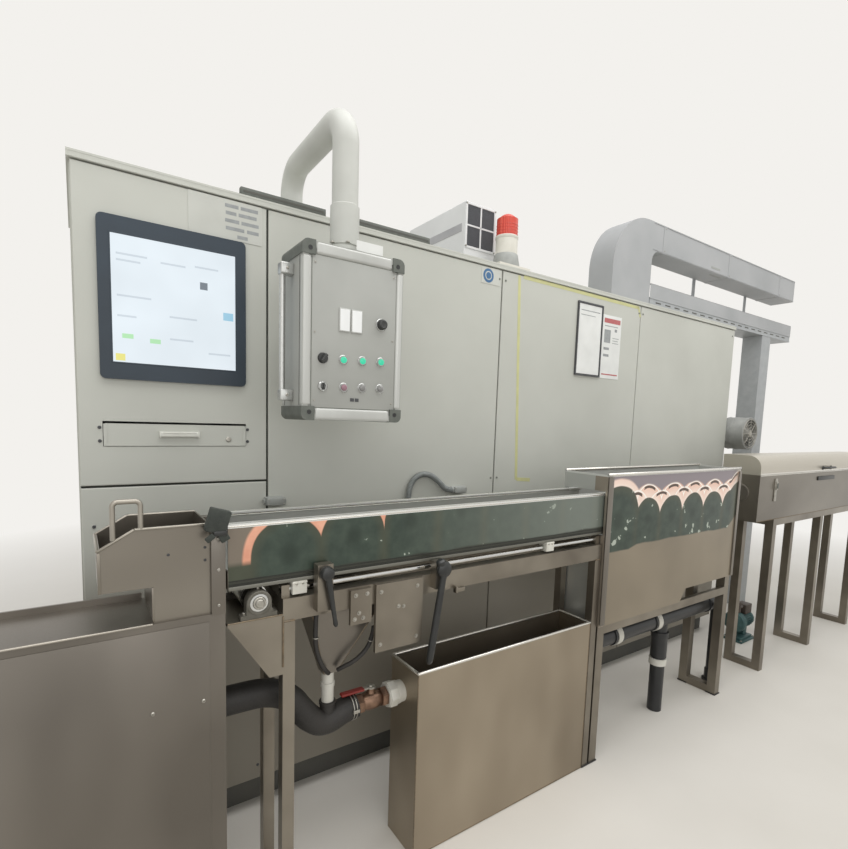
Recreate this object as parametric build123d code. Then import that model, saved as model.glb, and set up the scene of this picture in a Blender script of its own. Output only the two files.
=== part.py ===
"""Cable cooling and control bay of an extrusion line, one STEP file per piece.

Millimetres, +Z up.  X runs along the line in the direction of the cable, Y points from
the operator to the cabinet.  The origin is on the floor under the middle of the cabinet.
Inside the script x = 0 is the left end of the cabinet and y = 0 is its front face.
"""
import os

from build123d import *

# Cabinet
LEFT_SECTION = 493.0
WIDE_SECTION = 955.0
END_SECTION = 987.0
CABINET_DEPTH = 600.0
CABINET_HEIGHT = 1940.0
PLINTH_HEIGHT = 100.0
PLINTH_SETBACK = 25.0
COVER_THICKNESS = 20.0
COVER_GAP = 6.0
COVER_CORNER = 3.0
UPPER_COVER_HEIGHT = 823.0
ROOF_THICKNESS = 20.0
ROOF_OVERHANG = 4.0

# Keyboard drawer, placed from the seam between the left covers
DRAWER_RISE = 114.0
DRAWER_LEFT_MARGIN = 62.0
DRAWER_RIGHT_MARGIN = 71.0
DRAWER_HEIGHT = 56.0
DRAWER_DEPTH = 340.0
DRAWER_WALL = 4.0
DRAWER_FRONT = 18.0
DRAWER_CLEARANCE = 6.0
RUNNER_HEIGHT = 10.0
RUNNER_CLEARANCE = 0.3
GRIP_WIDTH = 96.0
GRIP_HEIGHT = 16.0
GRIP_DEPTH = 12.0

# Screen, placed over the drawer
BEZEL_RISE = 118.0
BEZEL_LEFT_MARGIN = 54.0
BEZEL_RIGHT_MARGIN = 68.0
BEZEL_HEIGHT = 417.0
BEZEL_PROUD = 12.0
BEZEL_CORNER = 14.0
SCREEN_SIDE_RIM = 30.0
SCREEN_FOOT_RIM = 45.0
SCREEN_RECESS = 5.0
SCREEN_THICKNESS = 4.0

# Cooling unit and beacon on the roof, placed from the seams of the sections
COOLER_TO_SEAM = 88.0
COOLER_SETBACK = 150.0
COOLER_WIDTH = 170.0
COOLER_DEPTH = 430.0
COOLER_HEIGHT = 275.0
COOLER_RIM = 12.0
GRILLE_HEIGHT = 165.0
GRILLE_BAR = 7.0
GRILLE_SLAT = 3.0
GRILLE_SLATS = 8
GRILLE_THICKNESS = 8.0
GRILLE_POCKET = 24.0
BEACON_TO_SEAM = 67.0
BEACON_SETBACK = 60.0
BEACON_DIAMETER = 92.0
BEACON_BASE_HEIGHT = 127.0
BEACON_DOME_HEIGHT = 113.0
BEACON_SOCKET_DEPTH = 8.0
BEACON_WALL = 8.0
BEACON_DOME_STEP = 2.0
BEACON_PLATE_LENGTH = 170.0
BEACON_PLATE_WIDTH = 120.0
BEACON_PLATE_THICKNESS = 10.0

# Board, small blocks, conduit and fan on the cabinet
BOARD_TO_SEAM = 466.0
BOARD_WIDTH = 180.0
BOARD_DROP = 69.0
BOARD_HEIGHT = 335.0
BOARD_THICKNESS = 8.0
BOARD_RIM = 7.0
BLOCK_WIDTH = 62.0
BLOCK_HEIGHT = 38.0
BLOCK_DEPTH = 34.0
BLOCK_CORNER = 8.0
BLOCK_OFFSETS = ((23.0, 81.0), (757.0, 83.0), (1647.0, 39.0), (2357.0, 35.0))
CONDUIT_DIAMETER = 22.0
CONDUIT_RISE = 66.0
CONDUIT_REACH = 205.0
CONDUIT_ROUTE = ((0.2, 0.0), (0.55, 1.0), (0.85, 0.85), (1.0, 0.0), (1.0, -1.0))
FAN_DIAMETER = 200.0
FAN_LENGTH = 130.0
FAN_DROP = 654.0
FAN_FRONT = 96.0
FAN_RING = 16.0
FAN_BLADES = 7
FAN_BLADE_THICKNESS = 8.0
FAN_HUB = 66.0
FAN_MOUTH_DEPTH = 43.0
FAN_HUB_DEPTH = 65.0
FAN_BRACKET = 100.0

# Trunking and tray over the line, placed from the roof
TRUNK_TO_SEAM = 91.0
TRUNK_SETBACK = 120.0
TRUNK_DEPTH = 150.0
RISER_WIDTH = 335.0
RUN_RISE = 485.0
RUN_HEIGHT = 150.0
TRUNK_INNER_RADIUS = 60.0
TRUNK_CORNER_FLAT = 45.0
TRAY_RISE = 85.0
TRAY_HEIGHT = 45.0
TRAY_WALL = 5.0
TRAY_TO_RISER = 6.0
POST_WIDTH = 130.0
POST_TO_END = 440.0
HANGER_WIDTH = 30.0
HANGER_PITCH = 700.0

# Pendant control box, hung from the roof
PENDANT_WIDTH = 295.0
PENDANT_HEIGHT = 449.0
PENDANT_DEPTH = 150.0
PENDANT_DROP = 196.0
PENDANT_TO_SEAM = 134.0
PENDANT_BACK_GAP = 180.0
PENDANT_RIM = 16.0
PENDANT_RECESS = 4.0
CORNER_CAP = 34.0
CORNER_CAP_PROUD = 2.5
TUBE_DIAMETER = 72.0
FLANGE_DIAMETER = 104.0
FLANGE_HEIGHT = 18.0
SWIVEL_CLEARANCE = 0.3
ARM_RISE = 180.0
ARM_BEND_RADIUS = 80.0
PEDESTAL_SETBACK = 170.0
PEDESTAL_FLANGE = 135.0
HANDLE_BAR = 14.0
HANDLE_REACH = 34.0
HANDLE_INSET = 62.0
HANDLE_LUG = 26.0
METER_WIDTH = 36.0
METER_HEIGHT = 56.0
METER_GAP = 8.0
METER_SHIFT = -4.5
METER_LEVEL = 0.565
BUTTON_DIAMETER = 26.0
BUTTON_PROUD = 9.0
BUTTON_PITCH = 52.0
KNOB_DIAMETER = 34.0
KNOB_PROUD = 20.0
KNOB_SHIFT = 80.0
BUTTON_ROWS = (0.335, 0.185)
BUTTONS_PER_ROW = 4
FIRST_BUTTON_SHIFT = -84.0

# Cooling line: the cable's height and the sheet and tube that it is made of
CABLE_HEIGHT = 985.0
LINE_TO_CABINET = 356.0
SHEET = 4.0
RUNNING_FIT = 0.08
CABLE_PORT = 30.0

# Entry stand and entry box, placed from the stand's right side and the cable
STAND_RIGHT = 234.0
STAND_LENGTH = 449.0
STAND_DROP = 123.0
STAND_UPSTAND = 14.0
UPSTAND_THICKNESS = 6.0
UPSTAND_GAP = 6.0
ENTRY_LENGTH = 209.0
ENTRY_SLOPE = 64.0
ENTRY_RISE = 78.0
ENTRY_NOSE_RISE = 40.0
ENTRY_DROP = 46.0
ENTRY_SKIRT_LENGTH = 114.0
ENTRY_POST = 28.0
ENTRY_POST_RISE = 65.0
CLIP_SIZE = 46.0
CLIP_THICKNESS = 24.0
CLIP_DROP = 15.0
CLIP_CORNER = 6.0
GRIP_ROD = 10.0
GRIP_INSET = 27.0
GRIP_SPAN = 49.0
GRIP_RISE = 58.0

# Sliding trough on its two rods
TROUGH_WIDTH = 170.0
TROUGH_DEPTH = 152.0
TROUGH_RISE = 72.0
TROUGH_TO_POST = 8.0
TROUGH_IN_BOX = 66.0
TROUGH_RIM = 22.0
TROUGH_BEAD = 12.0
ROD_DIAMETER = 16.0
ROD_TO_FRAME_SIDE = 22.0
SLIDE_BLOCK_WIDTH = 36.0
SLIDE_BLOCK_DEPTH = 34.0
SLIDE_BLOCK_HEIGHT = 32.0
SLIDE_BLOCK_WALL = 4.0
LEFT_BLOCK_INSET = 43.0
RIGHT_BLOCK_INSET = 271.0
ROD_SUPPORT = 20.0

# Tube frame under the trough
FRAME_OVERHANG = 7.0
FRAME_INSET = 123.0
FRAME_LENGTH = 1197.0
FRAME_TUBE = 30.0
BEAM_WIDTH = 40.0
BEAM_HEIGHT = 55.0
BEAM_TO_BLOCK = 6.0

# Bearings and support roller
BRACKET_LENGTH = 127.0
BRACKET_THICKNESS = 6.0
GUSSET_DROP = 150.0
GUSSET_TOE = 32.0
BEARING_TO_FRAME = 56.0
BEARING_DIAMETER = 58.0
BEARING_BASE = 84.0
BEARING_FOOT = 12.0
BEARING_THICKNESS = 24.0
SHAFT_DIAMETER = 20.0
ROLLER_DIAMETER = 62.0
ROLLER_SIDE_GAP = 44.0
ROLLER_TO_TROUGH = 5.0
ROLLER_TO_BRACKET = 7.0

# Clamp plates (offset along the frame, width, height, drop under the beam's top)
PLATE_THICKNESS = 10.0
PLATES = ((173.0, 61.0, 92.0, 5.0), (247.0, 149.0, 187.0, 1.0))

# Clamp levers (offset along the frame, rise over the beam's top, length, lean in degrees)
LEFT_LEVER = (96.0, 59.0, 138.0, 10.0)
RIGHT_LEVER = (447.0, 21.0, 270.0, -9.0)
CLAMP_BLOCK_WIDTH = 40.0
CLAMP_BLOCK_DEPTH = 27.0
CLAMP_BLOCK_DROP = 37.0
LEVER_PIN = 12.0
LEVER_HUB = 36.0
LEVER_HUB_DEPTH = 22.0
LEVER_STEM = 14.0
LEVER_TIP = 20.0

# Water tank under the frame
TANK_LEFT_INSET = 397.0
TANK_RIGHT_INSET = 34.0
TANK_BACK_INSET = 36.0
TANK_HEIGHT = 575.0

# Drain funnel, drain hose and valve, placed from the tank
FUNNEL_INSET = 87.0
FUNNEL_WIDTH = 200.0
FUNNEL_LAP = 8.0
FUNNEL_OUTLET = 38.0
FUNNEL_OUTLET_INSET = 70.0
FUNNEL_SKIRT = 12.0
DRAIN_PIPE_DIAMETER = 34.0
DRAIN_PIPE_LENGTH = 85.0
DRAIN_STUB_RISE = 40.0
DRAIN_STUB_DIAMETER = 46.0
HOSE_DIAMETER = 70.0
HOSE_START_RISE = 115.0
HOSE_SAG = 27.0
HOSE_BACKSET = 15.0
HOSE_BEND = 60.0
VALVE_DROP = 90.0
VALVE_LENGTH = 99.0
VALVE_TO_TANK = 55.0
VALVE_BODY = 52.0
VALVE_STEM = 14.0
VALVE_BONNET = 22.0
VALVE_BONNET_RISE = 12.0
VALVE_STEM_RISE = 8.0
VALVE_LEVER_LENGTH = 96.0
VALVE_LEVER_WIDTH = 16.0
VALVE_LEVER_THICKNESS = 5.0
VALVE_LEVER_EYE = 27.0
UNION_DIAMETER = 64.0

# Deep box and its stand
FRAME_TO_BOX = 4.0
BOX_LENGTH = 1006.0
BOX_SIDE_GAP = 15.0
BOX_RISE = 140.0
BOX_DEPTH = 575.0
BOX_STEP = 55.0
BOX_STEP_OFFSET = 556.0
BOX_STEP_RUN = 40.0
BOX_BEAD = 12.0
BOX_MOUTH_CLEARANCE = 6.0
BOX_STAND_INSET = 6.0
BOX_PORT = 70.0
LEG = 40.0
FOOT_BAR = 36.0
OUTLET_DIAMETER = 56.0
OUTLET_OFFSET = 456.0

# Overflow piping under the deep box
PIPE_DIAMETER = 78.0
PIPE_DROP = 110.0
PIPE_OVERRUN = 100.0
TEE_OFFSET = 596.0
TEE_DIAMETER = 62.0
DROP_DIAMETER = 50.0
RING_WIDTH = 30.0
RING_PROUD = 7.0
RING_OFFSETS = (221.0, 511.0)

# Hooded trough
BOX_TO_HOOD = 230.0
HOOD_LENGTH = 1650.0
HOOD_DROP = 143.0
HOOD_RISE = 96.0
LID_HEIGHT = 97.0
LID_SHOULDER = 62.0
HOOD_LEGS = 3
HOOD_LEG_INSET = 205.0
HOOD_END_INSET = 115.0

# Pump on the floor behind the hooded trough
PUMP_OFFSET = 590.0
PUMP_TO_CABINET = 170.0
PUMP_BASE = 180.0
PUMP_BASE_WIDTH = 120.0
PUMP_BASE_HEIGHT = 24.0
VOLUTE_DIAMETER = 130.0
VOLUTE_WIDTH = 60.0
PUMP_AXIS_HEIGHT = 120.0
MOTOR_DIAMETER = 105.0
MOTOR_LENGTH = 170.0
PUMP_PORT = 40.0
PUMP_PORT_RISE = 130.0
PUMP_SADDLE_LENGTH = 90.0
PUMP_SADDLE_WIDTH = 60.0

# Cabinet places worked out from the sizes above
FIRST_SEAM = LEFT_SECTION
SECOND_SEAM = FIRST_SEAM + WIDE_SECTION
THIRD_SEAM = SECOND_SEAM + WIDE_SECTION
CABINET_LENGTH = THIRD_SEAM + END_SECTION
HOUSING_TOP = CABINET_HEIGHT - ROOF_THICKNESS
COVER_SEAM_HEIGHT = HOUSING_TOP - UPPER_COVER_HEIGHT
DRAWER_LEFT = DRAWER_LEFT_MARGIN
DRAWER_RIGHT = LEFT_SECTION - DRAWER_RIGHT_MARGIN
DRAWER_BOTTOM = COVER_SEAM_HEIGHT + DRAWER_RISE
DRAWER_TOP = DRAWER_BOTTOM + DRAWER_HEIGHT
BEZEL_LEFT = BEZEL_LEFT_MARGIN
BEZEL_RIGHT = LEFT_SECTION - BEZEL_RIGHT_MARGIN
BEZEL_BOTTOM = DRAWER_TOP + BEZEL_RISE
COOLER_LEFT = SECOND_SEAM - COOLER_TO_SEAM
BEACON_X = SECOND_SEAM + BEACON_TO_SEAM
BOARD_LEFT = SECOND_SEAM + BOARD_TO_SEAM
BOARD_TOP = CABINET_HEIGHT - BOARD_DROP
BLOCK_PLACES = tuple((FIRST_SEAM + offset, COVER_SEAM_HEIGHT - drop) for offset, drop in BLOCK_OFFSETS)
FAN_HEIGHT = CABINET_HEIGHT - FAN_DROP
TRUNK_LEFT = THIRD_SEAM - TRUNK_TO_SEAM
RUN_TOP = CABINET_HEIGHT + RUN_RISE
TRUNK_OUTER_RADIUS = RISER_WIDTH - TRUNK_CORNER_FLAT
TRAY_TOP = CABINET_HEIGHT + TRAY_RISE
PENDANT_X = FIRST_SEAM + PENDANT_TO_SEAM
PENDANT_Y = -PENDANT_BACK_GAP - PENDANT_DEPTH / 2
PENDANT_TOP = CABINET_HEIGHT - PENDANT_DROP
PENDANT_BOTTOM = PENDANT_TOP - PENDANT_HEIGHT
ARM_HEIGHT = CABINET_HEIGHT + ARM_RISE

# Places across and over the line
LINE_Y = -LINE_TO_CABINET
FRAME_WIDTH = TROUGH_WIDTH + 2 * FRAME_OVERHANG
FRAME_FRONT = LINE_Y - FRAME_WIDTH / 2
FRAME_BACK = LINE_Y + FRAME_WIDTH / 2
BOX_WIDTH = TROUGH_WIDTH + 2 * BOX_SIDE_GAP
ROD_SPACING = FRAME_WIDTH - 2 * ROD_TO_FRAME_SIDE
TROUGH_TOP = CABLE_HEIGHT + TROUGH_RISE
TROUGH_BOTTOM = TROUGH_TOP - TROUGH_DEPTH
SLIDE_BLOCK_BOTTOM = TROUGH_BOTTOM - SLIDE_BLOCK_HEIGHT
ROD_HEIGHT = SLIDE_BLOCK_BOTTOM + SLIDE_BLOCK_WALL + ROD_DIAMETER / 2
BEAM_TOP = SLIDE_BLOCK_BOTTOM - BEAM_TO_BLOCK
BEAM_BOTTOM = BEAM_TOP - BEAM_HEIGHT
BEARING_HEIGHT = TROUGH_BOTTOM - ROLLER_TO_TROUGH - ROLLER_DIAMETER / 2
BRACKET_TOP = BEARING_HEIGHT - ROLLER_DIAMETER / 2 - ROLLER_TO_BRACKET
STAND_HEIGHT = CABLE_HEIGHT - STAND_DROP
ENTRY_TOP = CABLE_HEIGHT + ENTRY_RISE
ENTRY_NOSE = CABLE_HEIGHT + ENTRY_NOSE_RISE
ENTRY_BOTTOM = CABLE_HEIGHT - ENTRY_DROP
ENTRY_POST_TOP = CABLE_HEIGHT + ENTRY_POST_RISE
VALVE_HEIGHT = TANK_HEIGHT - VALVE_DROP
DRAIN_STUB_TOP = VALVE_HEIGHT + DRAIN_STUB_RISE
FUNNEL_BOTTOM = DRAIN_STUB_TOP + DRAIN_PIPE_LENGTH
FUNNEL_DEPTH = FRAME_WIDTH - 2 * BEAM_WIDTH + 2 * FUNNEL_LAP
HOSE_START_HEIGHT = VALVE_HEIGHT + HOSE_START_RISE
HOSE_LOW_HEIGHT = VALVE_HEIGHT - HOSE_SAG
BOX_TOP = CABLE_HEIGHT + BOX_RISE
BOX_BOTTOM = BOX_TOP - BOX_DEPTH
PIPE_HEIGHT = BOX_BOTTOM - PIPE_DROP
HOOD_BOTTOM = CABLE_HEIGHT - HOOD_DROP
HOOD_SEAM = CABLE_HEIGHT + HOOD_RISE
HOOD_TOP = HOOD_SEAM + LID_HEIGHT

# Places along the line
STAND_LEFT = STAND_RIGHT - STAND_LENGTH
ENTRY_LEFT = STAND_RIGHT - ENTRY_LENGTH
ENTRY_SHOULDER = ENTRY_LEFT + ENTRY_SLOPE
ENTRY_SKIRT_LEFT = STAND_RIGHT - ENTRY_SKIRT_LENGTH
TROUGH_LEFT = STAND_RIGHT + ENTRY_POST + TROUGH_TO_POST
FRAME_LEFT = TROUGH_LEFT + FRAME_INSET
FRAME_RIGHT = FRAME_LEFT + FRAME_LENGTH
BEARING_X = FRAME_LEFT - BEARING_TO_FRAME
SLIDE_BLOCK_PLACES = (FRAME_LEFT + LEFT_BLOCK_INSET, FRAME_RIGHT - RIGHT_BLOCK_INSET)
TANK_LEFT = FRAME_LEFT + TANK_LEFT_INSET
TANK_RIGHT = FRAME_RIGHT - TANK_RIGHT_INSET
FUNNEL_LEFT = FRAME_LEFT + FUNNEL_INSET
FUNNEL_OUTLET_X = FUNNEL_LEFT + FUNNEL_OUTLET_INSET
VALVE_RIGHT = TANK_LEFT - VALVE_TO_TANK
VALVE_LEFT = VALVE_RIGHT - VALVE_LENGTH
BOX_LEFT = FRAME_RIGHT + FRAME_TO_BOX
BOX_RIGHT = BOX_LEFT + BOX_LENGTH
TROUGH_RIGHT = BOX_LEFT + TROUGH_IN_BOX
BOX_STEP_X = BOX_LEFT + BOX_STEP_OFFSET
OUTLET_X = BOX_LEFT + OUTLET_OFFSET
TEE_X = BOX_LEFT + TEE_OFFSET
PIPE_END = BOX_RIGHT + PIPE_OVERRUN
HOOD_LEFT = BOX_RIGHT + BOX_TO_HOOD
HOOD_RIGHT = HOOD_LEFT + HOOD_LENGTH
HOOD_FIRST_LEG = HOOD_LEFT + HOOD_LEG_INSET
HOOD_LAST_LEG = HOOD_RIGHT - HOOD_END_INSET - LEG
POST_X = HOOD_RIGHT - POST_TO_END
PUMP_X = HOOD_LEFT + PUMP_OFFSET

# Frame of the part
TO_ORIGIN = Location((-CABINET_LENGTH / 2, -CABINET_DEPTH / 2, 0))
LOW = (Align.MIN, Align.MIN, Align.MIN)
UP = (Align.CENTER, Align.CENTER, Align.MIN)


def block(x0, x1, y0, y1, z0, z1):
    """A plain box between two corners."""
    return Pos(x0, y0, z0) * Box(x1 - x0, y1 - y0, z1 - z0, align=LOW)


def post(x, y, z0, z1, diameter):
    """A round bar that stands upright."""
    return Pos(x, y, z0) * Cylinder(diameter / 2, z1 - z0, align=UP)


def rod_x(x0, x1, y, z, diameter):
    """A round bar along the line."""
    return Pos(x0, y, z) * Rot(0, 90, 0) * Cylinder(diameter / 2, x1 - x0, align=UP)


def rod_y(x, y0, y1, z, diameter):
    """A round bar across the line."""
    return Pos(x, y0, z) * Rot(-90, 0, 0) * Cylinder(diameter / 2, y1 - y0, align=UP)


def side_profile(points, y0, y1):
    """A plate or block with the outline points (x, z), from y0 to y1."""
    face = Plane.XZ.offset(-y0) * make_face(Polyline(*points, close=True))
    return extrude(face, amount=y0 - y1)


def end_profile(face, x0, x1):
    """A bar with the section face, drawn with y across and z up, from x0 to x1."""
    return extrude(Plane.YZ.offset(x0) * face, amount=x1 - x0)


def save(name, shape):
    """Write one piece in the part's own frame."""
    os.makedirs("parts", exist_ok=True)
    export_step(TO_ORIGIN * shape, f"parts/{name}.step")


def cabinet_housing():
    """Closed sections behind the covers, and the left one with its drawer bay."""
    front, back = COVER_THICKNESS, CABINET_DEPTH
    left = block(0, LEFT_SECTION, front, back, PLINTH_HEIGHT, HOUSING_TOP)
    gap = DRAWER_CLEARANCE
    x0, x1 = DRAWER_LEFT, DRAWER_RIGHT
    left -= block(x0 - gap, x1 + gap, 0, DRAWER_DEPTH + gap, DRAWER_BOTTOM - gap, DRAWER_TOP + gap)
    reach = gap - RUNNER_CLEARANCE
    middle = (DRAWER_BOTTOM + DRAWER_TOP) / 2
    for start in (x0 - gap, x1 + RUNNER_CLEARANCE):
        left += block(start, start + reach, front, DRAWER_DEPTH,
                      middle - RUNNER_HEIGHT / 2, middle + RUNNER_HEIGHT / 2)
    save("left_housing", left)
    save("main_housing", block(LEFT_SECTION, CABINET_LENGTH, front, back, PLINTH_HEIGHT, HOUSING_TOP))
    inset = PLINTH_SETBACK
    save("cabinet_plinth", block(inset, CABINET_LENGTH - inset, COVER_THICKNESS + inset,
                                 back - inset, 0, PLINTH_HEIGHT))
    over = ROOF_OVERHANG
    save("roof_panel", block(-over, CABINET_LENGTH + over, -over, back + over,
                             HOUSING_TOP, CABINET_HEIGHT))


def cover(x0, x1, z0, z1):
    """One folded sheet cover with rounded front edges and a gap to its neighbours."""
    half = COVER_GAP / 2
    plate = block(x0 + half, x1 - half, 0, COVER_THICKNESS, z0 + half, z1 - half)
    front = plate.faces().sort_by(Axis.Y)[0]
    return fillet(front.edges(), COVER_CORNER)


def cabinet_covers():
    """The five sheet covers on the front of the cabinet."""
    upper = cover(0, FIRST_SEAM, COVER_SEAM_HEIGHT, HOUSING_TOP)
    gap = DRAWER_CLEARANCE
    upper -= block(DRAWER_LEFT - gap, DRAWER_RIGHT + gap, 0, COVER_THICKNESS,
                   DRAWER_BOTTOM - gap, DRAWER_TOP + gap)
    save("left_upper_cover", upper)
    save("left_lower_cover", cover(0, FIRST_SEAM, PLINTH_HEIGHT, COVER_SEAM_HEIGHT))
    save("middle_cover", cover(FIRST_SEAM, SECOND_SEAM, PLINTH_HEIGHT, HOUSING_TOP))
    save("right_cover", cover(SECOND_SEAM, THIRD_SEAM, PLINTH_HEIGHT, HOUSING_TOP))
    save("end_cover", cover(THIRD_SEAM, CABINET_LENGTH, PLINTH_HEIGHT, HOUSING_TOP))


def screen():
    """Operator screen: a proud frame and the glass let into it."""
    x0, x1, z0 = BEZEL_LEFT, BEZEL_RIGHT, BEZEL_BOTTOM
    frame = block(x0, x1, -BEZEL_PROUD, 0, z0, z0 + BEZEL_HEIGHT)
    frame = fillet(frame.edges().filter_by(Axis.Y), BEZEL_CORNER)
    gx0, gx1 = x0 + SCREEN_SIDE_RIM, x1 - SCREEN_SIDE_RIM
    gz0, gz1 = z0 + SCREEN_FOOT_RIM, z0 + BEZEL_HEIGHT - SCREEN_FOOT_RIM
    seat = SCREEN_RECESS - BEZEL_PROUD
    frame -= block(gx0, gx1, -BEZEL_PROUD, seat, gz0, gz1)
    save("screen_frame", frame)
    save("screen_glass", block(gx0, gx1, seat - SCREEN_THICKNESS, seat, gz0, gz1))


def keyboard_drawer():
    """Shallow tray that slides out of the cabinet towards the operator."""
    x0, x1 = DRAWER_LEFT, DRAWER_RIGHT
    wall = DRAWER_WALL
    tray = block(x0, x1, 0, DRAWER_DEPTH, DRAWER_BOTTOM, DRAWER_TOP)
    tray -= block(x0 + wall, x1 - wall, DRAWER_FRONT, DRAWER_DEPTH - wall,
                  DRAWER_BOTTOM + wall, DRAWER_TOP)
    save("keyboard_drawer", tray)
    middle_x = (x0 + x1) / 2
    middle_z = (DRAWER_BOTTOM + DRAWER_TOP) / 2
    grip = block(middle_x - GRIP_WIDTH / 2, middle_x + GRIP_WIDTH / 2, -GRIP_DEPTH, 0,
                 middle_z - GRIP_HEIGHT / 2, middle_z + GRIP_HEIGHT / 2)
    grip = fillet(grip.edges().filter_by(Axis.X).group_by(Axis.Y)[0], GRIP_HEIGHT / 3)
    save("drawer_grip", grip)


def roof_fittings():
    """Cooling unit with its grille, and the round beacon on its plate."""
    x0, y0, z0 = COOLER_LEFT, COOLER_SETBACK, CABINET_HEIGHT
    x1, z1 = x0 + COOLER_WIDTH, z0 + COOLER_HEIGHT
    unit = block(x0, x1, y0, y0 + COOLER_DEPTH, z0, z1)
    unit = fillet(unit.edges().filter_by(Axis.Y).group_by(Axis.Z)[-1], COOLER_RIM / 2)
    gx0, gx1 = x0 + COOLER_RIM, x1 - COOLER_RIM
    gz1 = z1 - COOLER_RIM
    gz0 = gz1 - GRILLE_HEIGHT
    unit -= block(gx0, gx1, y0, y0 + GRILLE_POCKET, gz0, gz1)
    save("cooling_unit", unit)
    grille = block(gx0, gx1, y0, y0 + GRILLE_THICKNESS, gz0, gz1)
    grille -= block(gx0 + GRILLE_BAR, gx1 - GRILLE_BAR, y0, y0 + GRILLE_THICKNESS,
                    gz0 + GRILLE_BAR, gz1 - GRILLE_BAR)
    middle_x, middle_z = (gx0 + gx1) / 2, (gz0 + gz1) / 2
    grille += block(middle_x - GRILLE_BAR / 2, middle_x + GRILLE_BAR / 2, y0, y0 + GRILLE_THICKNESS,
                    gz0 + GRILLE_BAR, gz1 - GRILLE_BAR)
    grille += block(gx0 + GRILLE_BAR, gx1 - GRILLE_BAR, y0, y0 + GRILLE_THICKNESS,
                    middle_z - GRILLE_BAR / 2, middle_z + GRILLE_BAR / 2)
    pitch = (GRILLE_HEIGHT - 2 * GRILLE_BAR) / (GRILLE_SLATS + 1)
    for step in range(1, GRILLE_SLATS + 1):
        z = gz0 + GRILLE_BAR + step * pitch
        grille += block(gx0 + GRILLE_BAR, gx1 - GRILLE_BAR, y0 + GRILLE_THICKNESS / 2,
                        y0 + GRILLE_THICKNESS, z - GRILLE_SLAT / 2, z + GRILLE_SLAT / 2)
    save("cooling_grille", grille)

    x, y = BEACON_X, BEACON_SETBACK
    top = CABINET_HEIGHT + BEACON_PLATE_THICKNESS
    plate = block(x - BEACON_PLATE_LENGTH / 2, x + BEACON_PLATE_LENGTH / 2,
                  y - BEACON_PLATE_WIDTH / 2, y + BEACON_PLATE_WIDTH / 2, CABINET_HEIGHT, top)
    base = post(x, y, top, top + BEACON_BASE_HEIGHT, BEACON_DIAMETER)
    foot = top + BEACON_BASE_HEIGHT
    base -= post(x, y, foot - BEACON_SOCKET_DEPTH, foot, BEACON_DIAMETER - 2 * BEACON_WALL)
    save("beacon_base", plate + base)
    radius = BEACON_DIAMETER / 2 - BEACON_DOME_STEP
    straight = BEACON_DOME_HEIGHT - radius
    dome = post(x, y, foot, foot + straight, 2 * radius)
    dome += Pos(x, y, foot + straight) * Sphere(radius, arc_size1=0)
    save("beacon_dome", dome)


def cabinet_fittings():
    """Document board, small grey blocks, the flexible conduit and the end fan."""
    x0, x1 = BOARD_LEFT, BOARD_LEFT + BOARD_WIDTH
    z0, z1 = BOARD_TOP - BOARD_HEIGHT, BOARD_TOP
    board = block(x0, x1, -BOARD_THICKNESS, 0, z0, z1)
    board -= block(x0 + BOARD_RIM, x1 - BOARD_RIM, -BOARD_THICKNESS, -BOARD_THICKNESS / 2,
                   z0 + BOARD_RIM, z1 - BOARD_RIM)
    save("document_board", board)

    blocks = Part()
    for x, z in BLOCK_PLACES:
        body = block(x - BLOCK_WIDTH / 2, x + BLOCK_WIDTH / 2, -BLOCK_DEPTH, 0, z, z + BLOCK_HEIGHT)
        body = fillet(body.edges().filter_by(Axis.X).group_by(Axis.Y)[0], BLOCK_CORNER)
        blocks += body
    save("grey_blocks", blocks)

    gland_x, gland_z = BLOCK_PLACES[1][0] - BLOCK_WIDTH / 2, BLOCK_PLACES[1][1] + BLOCK_HEIGHT / 2
    y = -BLOCK_DEPTH / 2
    bends = [(gland_x - along * CONDUIT_REACH, y, gland_z + rise * CONDUIT_RISE)
             for along, rise in CONDUIT_ROUTE]
    route = FilletPolyline((gland_x, y, gland_z), *bends, radius=CONDUIT_DIAMETER)
    tube = sweep(Plane(origin=route @ 0, z_dir=route % 0) * Circle(CONDUIT_DIAMETER / 2), path=route)
    end = route @ 1
    tube += rod_y(end.X, y - CONDUIT_DIAMETER / 2, 0, end.Z, CONDUIT_DIAMETER)
    save("conduit", tube)

    x = CABINET_LENGTH + FAN_DIAMETER / 2
    z, front = FAN_HEIGHT, -FAN_FRONT
    drum = rod_y(x, front, front + FAN_LENGTH, z, FAN_DIAMETER)
    drum -= rod_y(x, front, front + FAN_MOUTH_DEPTH, z, FAN_DIAMETER - 2 * FAN_RING)
    drum += rod_y(x, front + FAN_RING, front + FAN_HUB_DEPTH, z, FAN_HUB)
    for step in range(FAN_BLADES):
        blade = Pos(x, 0, z) * Rot(0, 360 / FAN_BLADES * step, 0) * block(
            -FAN_BLADE_THICKNESS / 2, FAN_BLADE_THICKNESS / 2, front + FAN_RING, front + FAN_HUB_DEPTH,
            0, FAN_DIAMETER / 2 - FAN_RING / 2)
        drum += blade
    half = FAN_BRACKET / 2
    drum += block(CABINET_LENGTH, x, 0, front + FAN_LENGTH, z - half, z + half)
    save("end_fan", drum)


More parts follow.
